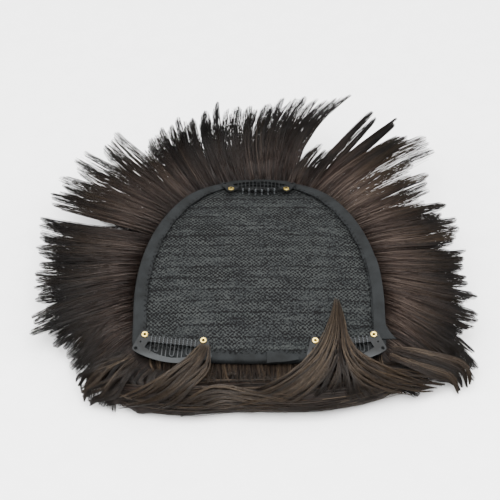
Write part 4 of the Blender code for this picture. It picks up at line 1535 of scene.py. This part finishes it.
    def roll(self, finish: Material) -> None:
        """Strands swept along the roll across the front, and short ones that drop on to it.

        Args:
            finish: its material.
        """
        rng = np.random.default_rng(self.seed + 2)
        batch = StrandBatch()
        guide = self.front_guide(ROLL, self.roll_height / 2, self.roll_width, 1.15 * self.roll_height)
        growth = Growth(
            strands=120,
            wisps=8,
            gather=0.6,
            fray=1.0 * MM,
            sway=0.8 * MM,
            radius=0.13 * MM,
            start=(0.0, 0.3),
            steps=6,
        )
        for first in np.arange(0.0, 0.8, 0.1):
            last = min(1.0, first + rng.uniform(0.35, 0.5))
            part = np.linspace(first, last, GUIDE_POINTS)
            piece = Guide(spread(guide.points, part), spread(guide.side, part), spread(guide.lift, part))
            batch.grow(piece, growth, rng)
        short = Growth(
            strands=34,
            wisps=3,
            shortest=0.6,
            gather=0.8,
            fray=0.8 * MM,
            start=(0.0, 0.1),
            low=-1.0,
            tone=0.5,
            steps=6,
        )
        # The short strands leave the cap's front edge in small locks that arch over and drop
        for x in np.linspace(-50, 56, 38) * MM:
            edge = float(self.form.front(np.array(x)))
            high = float(self.form.hair_top(x, edge))
            lean = rng.uniform(-1, 3) * MM
            points = np.array(
                [
                    (x, edge + 5 * MM, high - 1.0 * MM),
                    (x, edge - 1 * MM, high - 0.2 * MM),
                    (x + lean * 0.4, edge - 5 * MM, high + 0.5 * MM),
                    (x + lean, edge - 10 * MM, high + 0.4 * MM),
                    (x + lean * 1.5, edge - 13 * MM, high - 0.8 * MM),
                ]
            )
            guide = Guide.round_line(points, np.full(5, 2.4 * MM), np.full(5, 0.8 * MM))
            batch.grow(guide, short, rng)
        show(batch.mesh("hair_roll", self.form), finish, HAIR_SLOT)

    def streams(self, finish: Material) -> None:
        """Broad locks of the front hair, over the roll and the front clips.

        Args:
            finish: its material.
        """
        rng = np.random.default_rng(self.seed + 3)
        pieces = {
            "hair_parting": (PART_MIDDLE, PART_LEFT, PART_RIGHT, RIGHT_BAND, CORNER_RIGHT),
            "hair_sweep": (RIDGE, SWEEP, CURLS, LEFT_LOCK, CORNER_LEFT),
        }
        for name, streams in pieces.items():
            batch = StrandBatch()
            for stream in streams:
                batch.grow(self.stream_guide(stream), stream.growth, rng)
            show(batch.mesh(name, self.form), finish, HAIR_SLOT)

    def build(self) -> None:
        """Build and dress all the hair."""
        fan_hair = FAN_HAIR.make()
        front_hair = FRONT_HAIR.make()
        self.mass(ShadeMassFinish().make())
        self.fan(fan_hair)
        self.lower(fan_hair)
        self.roll(front_hair)
        self.streams(front_hair)


# The cap


@dataclass
class Cap:
    """The net, its bound rim with its stitches, and the loose tape ends."""

    form: CapForm
    cell: float = 1.5 * MM
    net_wall: float = 0.7 * MM
    net_sunk: float = 0.3 * MM
    net_fade: float = 12 * MM
    ripple: float = 0.25 * MM
    weft_pitch: float = 6.6 * MM
    weft_height: float = 0.08 * MM
    tape_width: float = 6.5 * MM
    front_tape_width: float = 4.5 * MM
    underside: float = 4 * MM
    stitch_pitch: float = 3.0 * MM
    stitch_width: float = 1.3 * MM
    stitch_over: float = 0.5 * MM
    stitch_net_lift: float = 0.35 * MM
    stitch_bulge: float = 0.1 * MM
    stitch_arch: float = 0.25 * MM
    thread: float = 0.14 * MM
    tail_length: float = 46 * MM
    tail_width: float = 5.5 * MM
    tail_flare: float = 5 * MM
    tail_flare_from: float = 0.8
    tail_flare_span: float = 0.2
    tail_curl: float = 0.5 * MM
    tail_wall: float = 0.5 * MM
    tag_start: float = 3.5 * MM
    tag_length: float = 15 * MM
    tag_width: float = 4.2 * MM
    tag_overhang: float = 1.8 * MM
    tag_taper: float = 0.7
    tag_ripple: float = 0.2 * MM
    # Where the net's holes are stretched open: across, along, and half sizes, all shares
    open_spots: tuple[tuple[float, float, float, float], ...] = (
        (-0.72, 0.42, 0.10, 0.22), (-0.52, 0.72, 0.14, 0.10), (-0.40, 0.67, 0.15, 0.11),
        (-0.43, 0.27, 0.13, 0.10), (-0.71, 0.62, 0.07, 0.14), (0.34, 0.80, 0.16, 0.10),
        (0.60, 0.66, 0.12, 0.14), (0.80, 0.30, 0.08, 0.30), (-0.30, -0.20, 0.12, 0.06),
        (0.25, 0.45, 0.10, 0.08),
    )
    fold_pitch: float = 8 * MM
    fold_height: float = 0.45 * MM
    # The band of folds round the crown: its middle and half width, shares of half the length
    fold_band: tuple[float, float] = (0.78, 0.2)
    fold_fade: float = 20 * MM
    net_flat: tuple[float, float] = (0.119, 0.119)
    net_area: float = 0.01135

    def net(self, finish: Material) -> Object:
        """The knitted net: one domed sheet with faint weft ridges, its edge inside the tape.

        Args:
            finish: its material.

        Returns:
            The net.
        """
        form = self.form
        inset = form.tape + form.gap + self.net_sunk
        columns = int(form.width / self.cell)
        rows = int(form.length / self.cell)
        bm = bmesh.new()
        bmesh.ops.create_grid(bm, x_segments=columns, y_segments=rows, size=0.5)
        for vert in bm.verts:
            vert.co.x *= form.width
            vert.co.y *= form.length
        rim = form.rim(720)
        away = rim / np.linalg.norm(rim, axis=1)[:, None]
        reach = np.linalg.norm(rim, axis=1) - inset
        order = np.argsort(np.arctan2(away[:, 1], away[:, 0]))
        turns = np.arctan2(away[:, 1], away[:, 0])[order]
        reach = reach[order]
        outside = []
        for vert in bm.verts:
            turn = math.atan2(vert.co.y, vert.co.x)
            if vert.co.xy.length > np.interp(turn, turns, reach, period=2 * math.pi):
                outside.append(vert)
        bmesh.ops.delete(bm, geom=outside, context="VERTS")
        x = np.array([v.co.x for v in bm.verts])
        y = np.array([v.co.y for v in bm.verts])
        height = form.top(x, y) - self.net_sunk
        fade = np.clip((form.length / 2 - np.hypot(x, y) * 0.97) / self.net_fade, 0, 1)
        height += fade * self.ripple * (np.sin(x / (9 * MM)) * np.sin(y / (13 * MM) + 1) - 0.6)
        line = np.sin(2 * math.pi * (y + 0.6 * MM * np.sin(x / (8 * MM))) / self.weft_pitch)
        height += fade * self.weft_height * np.clip(line, 0.2, 1)
        bearing = np.arctan2(y, x)
        radius = np.hypot(x, y)
        middle, half = self.fold_band
        slack = np.clip(1 - np.abs(radius / (form.length / 2) - middle) / half, 0, 1)
        slack = slack * np.clip(y / self.fold_fade, 0, 1)
        wander = 2.5 * np.sin(5 * bearing) + 1.5 * np.sin(11 * bearing)
        height += slack * self.fold_height * np.sin(2 * math.pi * radius / self.fold_pitch + wander)
        for vert, z in zip(bm.verts, height):
            vert.co.z = z
        for vert in bm.verts:
            vert.co.x += form.centre[0]
            vert.co.y += form.centre[1]
        mesh = finished(bm, "cap_net_knit")
        mesh.shade_smooth()
        opened = np.zeros(len(x))
        for across, along, wide, tall in self.open_spots:
            off_x = (2 * x / form.width - across) / wide
            off_y = (2 * y / form.length - along) / tall
            opened = np.maximum(opened, np.exp(-(off_x**2) - off_y**2))
        mark(mesh, "open", opened)
        piece = show(mesh, finish, "net_cloth", "cap_net")
        wall = piece.modifiers.new("wall", "SOLIDIFY")
        wall.thickness = self.net_wall
        wall.offset = -1.0
        return piece

    def binding_section(self, width: float, pucker: float) -> Array:
        """Section of the folded tape: distance in from the rim and height over the net's face.

        Args:
            width: how far it reaches in from the rim.
            pucker: how far the stitches draw it up here.

        Returns:
            One row for each corner.
        """
        form = self.form
        top = form.gap + form.tape
        low = -(form.wall + form.gap)
        under = low - form.tape
        inner = width + 0.35 * pucker
        # Corners from the inner edge over the top, round the rim and back under the net
        return np.array(
            [
                (inner, form.gap - 0.1 * MM),
                (inner, top - 0.35 * MM + 0.2 * pucker),
                (inner - 0.5 * MM, top - 0.1 * MM + 0.25 * pucker),
                (inner * 0.62, top),
                (1.3 * MM, top),
                (0.4 * MM, top - 0.25 * MM),
                (0.0, top - 0.9 * MM),
                (0.0, under + 0.7 * MM),
                (0.45 * MM, under),
                (self.underside, under),
                (self.underside, low),
                (form.tape, low),
                (form.tape, form.gap),
            ]
        )

    def inward(self, line: Array) -> Array:
        """Unit vectors into the cap at each point of its closed rim.

        Args:
            line: the rim's points, one row each.

        Returns:
            One row for each point.
        """
        along = np.roll(line, -1, axis=0) - np.roll(line, 1, axis=0)
        along /= np.linalg.norm(along, axis=1)[:, None]
        return np.stack([-along[:, 1], along[:, 0]], 1)

    def binding(self, finish: Material) -> None:
        """The tape folded round the rim, slightly puckered where it is stitched.

        Args:
            finish: its material.
        """
        form = self.form
        line = form.rim(480)
        into = self.inward(line)
        front_line = form.front_corner + form.gap
        rings = []
        for i, (point, side) in enumerate(zip(line, into)):
            blend = smooth_step(np.array((point[1] - front_line + 2 * MM) / (4 * MM)))
            width = self.front_tape_width + (self.tape_width - self.front_tape_width) * float(blend)
            pucker = MM * (math.sin(i * 2.05) * 0.6 + math.sin(i * 0.37 + 1) * 0.5)
            pucker *= 1 + 1.4 * (1 - float(blend))
            section = self.binding_section(width, pucker)
            plan = point + side * section[:, :1]
            z = form.top(plan[:, 0], plan[:, 1]) + section[:, 1]
            rings.append(form.placed(np.column_stack([plan, z])))
        mesh = sweep("edge_binding_tape", rings, closed=True)
        mesh.shade_smooth()
        show(mesh, finish, "tape_cloth", "edge_binding")

    def zigzag(self, finish: Material) -> None:
        """The dark zigzag thread that holds the tape's inner edge to the net.

        Args:
            finish: its material.
        """
        form = self.form
        line = form.rim(1400)
        into = self.inward(line)
        run = np.concatenate([[0], np.cumsum(np.linalg.norm(np.diff(line, axis=0), axis=1))])
        stitches = int(run[-1] / self.stitch_pitch)
        front_line = form.front_corner + form.gap
        paths = []
        for k in range(stitches):
            for a, b in ((0.0, 0.5), (0.5, 1.0)):
                ends = []
                for share in (a, b):
                    place = (k + share) * self.stitch_pitch
                    i = min(int(np.searchsorted(run, place)), len(line) - 1)
                    narrow = line[i][1] < front_line
                    edge = self.front_tape_width if narrow else self.tape_width
                    depth = edge + (-self.stitch_width if share == 0.5 else self.stitch_over)
                    plan = line[i] + into[i] * depth
                    over = form.gap + form.tape if share == 0.5 else self.stitch_net_lift
                    ends.append((*plan, float(form.top(plan[0], plan[1])) + over))
                low, high = np.array(ends)
                bulge = np.array([0, 0, self.stitch_bulge])
                middle = (low + high) / 2 + [0, 0, self.stitch_arch]
                before, after = (low + middle) / 2 + bulge, (middle + high) / 2 + bulge
                paths.append([low, before, middle, after, high])
        points = form.placed(np.array(paths))
        radii = np.full(points.shape[:2], self.thread)
        show(threads("zigzag_stitches", points, radii), finish, "tape_cloth")

    def tail(self, finish: Material) -> None:
        """The loose second tape on the right side, flared at its end.

        Args:
            finish: its material.
        """
        form = self.form
        start = form.front_corner + form.corner + self.tail_length
        lift = form.gap + form.tape + form.gap
        middle = form.length / 2 - form.round_end
        rows = []
        for share in np.linspace(0, 1, 36):
            y = start - self.tail_length * share
            edge = form.width / 2 - form.gap
            if y > middle:
                edge *= math.sqrt(1 - ((y - middle) / form.round_end) ** 2)
            flared = max(0.0, (share - self.tail_flare_from) / self.tail_flare_span)
            outer = edge + self.tail_flare * flared**2
            x = np.linspace(edge - self.tail_width, outer, 7)
            curl = self.tail_curl * np.sin(share * 9) * np.linspace(0, 1, 7)
            z = form.top(np.minimum(x, edge), np.full(7, y)) + lift + np.maximum(curl, 0)
            rows.append(np.column_stack([x, np.full(7, y), z]))
        self.ribbon("tape_tail_cloth", "tape_tail", rows, finish)

    def ribbon(self, name: str, node: str, rows: Sequence[Array], finish: Material) -> None:
        """Add a flat loose end of tape.

        Args:
            name: its name.
            node: the solid that it stands for.
            rows: lines across its lower face, from end to end.
            finish: its material.
        """
        rings = [np.concatenate([row, row[::-1] + [0, 0, self.tail_wall]]) for row in rows]
        mesh = sweep(name, [self.form.placed(ring) for ring in rings], closed=False)
        show(mesh, finish, "tape_cloth", node)

    def tag(self, finish: Material) -> None:
        """The lapped end of the front tape.

        Args:
            finish: its material.
        """
        form = self.form
        lift = form.gap + form.tape + form.gap
        rows = []
        for share in np.linspace(0, 1, 18):
            taper = 1 - self.tag_taper * share
            x = self.tag_start + self.tag_length * share
            edge = float(form.front(np.array(x)))
            y = np.linspace(edge - self.tag_overhang * taper, edge + self.tag_width * taper, 6)
            z = form.top(np.full(6, x), y) + lift + self.tag_ripple * math.sin(share * 8)
            rows.append(np.column_stack([np.full(6, x), y, z]))
        self.ribbon("tape_tag_cloth", "tape_tag", rows, finish)

    def build(self) -> None:
        """Build and dress the cap."""
        tape = TapeFinish().make()
        net = self.net(NetFinish().make())
        self.binding(tape)
        self.tail(tape)
        self.tag(tape)
        self.zigzag(ThreadFinish("dark_sewing_thread", "020202", "090a0b").make())


@dataclass(frozen=True)
class Loops:
    """The thread loops over a clip's crossbar: their count, pitch, radius, span and bow."""

    count: int
    pitch: float
    radius: float
    span: tuple[float, float]
    bow: float = 0.0


@dataclass(frozen=True)
class Clips:
    """The comb clips and eyelets: the solids themselves, with their finishes."""

    form: CapForm
    steel_nodes: tuple[str, ...] = ("front_clip_left", "front_clip_right", "crown_clip")
    # Where the painted highlight on the front clips' bowed edge fades out, measured from their front
    painted_highlight_band: tuple[float, float] = (3.5 * MM, 6.5 * MM)
    front_loops: Loops = Loops(12, 1.9 * MM, 0.36 * MM, (-0.8 * MM, 4.2 * MM))
    crown_loops: Loops = Loops(6, 3.2 * MM, 0.5 * MM, (-1.2 * MM, 0.3 * MM), bow=1.4 * MM)

    def laid(self, plan: Array, plate: BVHTree, radius: float) -> Array:
        """Lay plan points on a clip and the net round it.

        Args:
            plan: points, one row each.
            plate: the clip's faces.
            radius: the thread's radius.

        Returns:
            The points with their heights.
        """
        heights = []
        for x, y in plan:
            hit = plate.ray_cast(Vector((x, y, 1.0)), Vector((0, 0, -1)))[0]
            net = float(self.form.top(x - self.form.centre[0], y - self.form.centre[1]))
            heights.append(max(net, hit.z if hit else net))
        edged = np.pad(heights, 1, mode="edge")
        high = np.maximum(np.maximum(edged[:-2], edged[2:]), edged[1:-1])
        high[[0, -1]] = np.array(heights)[[0, -1]]
        return np.column_stack([plan, high + 0.5 * radius])

    def loops(self, finish: Material) -> None:
        """Thread loops that sew each clip's crossbar to the net: the ribs between its eyelets.

        Args:
            finish: its material.
        """
        paths, radii = [], []
        for name in self.steel_nodes:
            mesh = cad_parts[name].data
            faces = [tuple(face.vertices) for face in mesh.polygons]
            plate = BVHTree.FromPolygons([vert.co for vert in mesh.vertices], faces)
            boxes = [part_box(f"{name}_eyelet_{end}") for end in "ab"]
            ends = [np.array((low + high) / 2)[:2] for low, high in boxes]
            along = unit(ends[1] - ends[0])
            crown = name == "crown_clip"
            to_arch = np.array([-along[1], along[0]])
            to_arch *= np.sign(to_arch[1]) * (1 if crown else -1)
            sewn = self.crown_loops if crown else self.front_loops
            for k in range(sewn.count):
                place = (k - (sewn.count - 1) / 2) * sewn.pitch
                bow = sewn.bow * (1 - (2 * place / (sewn.count * sewn.pitch)) ** 2)
                runs = np.linspace(*sewn.span, 9) - bow
                plan = (ends[0] + ends[1]) / 2 + along * place + to_arch * runs[:, None]
                paths.append(self.laid(plan, plate, sewn.radius))
                radii.append(sewn.radius * np.interp(np.arange(9), [0, 1, 7, 8], [0.5, 1, 1, 0.5]))
        mesh = threads("clip_stitches", np.array(paths), np.array(radii), sides=8)
        show(mesh, finish, "tape_cloth")

    def darken_bore(self, mesh: Mesh) -> None:
        """Give the second material, near black brass as painted shade in the bore, to an eyelet's faces
        that look at its own axis.

        Args:
            mesh: the mesh.
        """
        points = np.array([vert.co for vert in mesh.vertices])
        middle = points.mean(axis=0)
        axis = np.linalg.svd(points - middle)[2][2]
        for face in mesh.polygons:
            off = np.array(face.center) - middle
            off = off - axis * (off @ axis)
            face.material_index = int(np.array(face.normal) @ unit(off) < -0.5)

    def build(self) -> None:
        """Dress the clips and their eyelets."""
        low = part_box("front_clip_left")[0]
        steel = PaintedSteelFinish(low.y + self.painted_highlight_band[0], low.y + self.painted_highlight_band[1]).make()
        brass = BrassFinish().make()
        # Near black brass: painted shade inside the eyelets' bores
        bore = BrassFinish("brass_bore_painted_shade", bright="1a120a", dull="080503", roughness=0.6).make()
        for name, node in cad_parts.items():
            finishes = [steel] if name in self.steel_nodes else [brass, bore] if "eyelet" in name else []
            if not finishes:
                continue
            node.data.materials.clear()
            for finish in finishes:
                node.data.materials.append(finish)
            if bore in finishes:
                self.darken_bore(node.data)
                node.data.shade_smooth()
            LOG.info("%s dressed in %s", name, finishes[0].name)
        self.loops(ThreadFinish("wrapped_polyester_thread", "1c1e1f", "3c3e3f").make())


# The studio


class Side(Enum):
    """Where a studio light stands."""

    LEFT = "left"
    RIGHT = "right"
    OVERHEAD = "overhead"


@dataclass
class Studio:
    """White table, soft lights and the camera."""

    form: CapForm
    camera_off: tuple[float, float, float] = (-4.4 * MM, -598.1 * MM, 630.4 * MM)
    camera_tilt: float = 45.0
    lens: float = 124.4
    sensor: float = 36.0
    table_size: float = 6.0
    air_strength: float = 1.9
    # Power in watts and edge in metres of each light
    lights: tuple[tuple[Side, float, float], ...] = (
        (Side.OVERHEAD, 62.0, 1.2),
        (Side.LEFT, 14.0, 0.8),
        (Side.RIGHT, 14.0, 0.8),
    )

    def light(self, side: Side, power: float, size: float) -> None:
        """Add one soft light.

        Args:
            side: where it stands.
            power: its power in watts.
            size: its edge in metres.
        """
        places = {
            Side.LEFT: ((-1.1, -0.3, 0.9), (0.0, -52.0, 10.0)),
            Side.RIGHT: ((1.1, 0.3, 0.9), (0.0, 52.0, 10.0)),
            Side.OVERHEAD: ((0.0, -0.45, 1.3), (19.0, 0.0, 0.0)),
        }
        place, turn = places[side]
        data = bpy.data.lights.new(f"light_{side.value}", "AREA")
        data.energy = power
        data.size = size
        lamp = bpy.data.objects.new(data.name, data)
        lamp.location = place
        lamp.rotation_euler = Euler([math.radians(a) for a in turn])
        bpy.context.scene.collection.objects.link(lamp)

    def build(self) -> None:
        """Build the table, the lights and the camera."""
        bm = bmesh.new()
        bmesh.ops.create_grid(bm, x_segments=1, y_segments=1, size=self.table_size / 2)
        mesh = finished(bm, "table_top")
        mesh.materials.append(TableFinish().make())
        table = bpy.data.objects.new("table_top", mesh)
        bpy.context.scene.collection.objects.link(table)
        world = bpy.data.worlds.new("studio_air")
        world.use_nodes = True
        air = world.node_tree.nodes["Background"]
        air.inputs["Color"].default_value = linear("ffffff")
        air.inputs["Strength"].default_value = self.air_strength
        bpy.context.scene.world = world
        for side, power, size in self.lights:
            self.light(side, power, size)
        data = bpy.data.cameras.new("camera")
        data.lens = self.lens
        data.sensor_width = self.sensor
        camera = bpy.data.objects.new("camera", data)
        camera.location = self.form.placed(np.array(self.camera_off))
        camera.rotation_euler = Euler((math.radians(self.camera_tilt), 0.0, 0.0))
        bpy.context.scene.collection.objects.link(camera)
        bpy.context.scene.camera = camera


def main() -> None:
    """Build everything in order."""
    logging.basicConfig(level=logging.INFO, format="%(name)s: %(message)s")
    low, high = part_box("edge_binding")
    form = CapForm(centre=((low.x + high.x) / 2, (low.y + high.y) / 2))
    Studio(form).build()
    Cap(form).build()
    Clips(form).build()
    Hair(form).build()


if __name__ == "__main__":
    main()
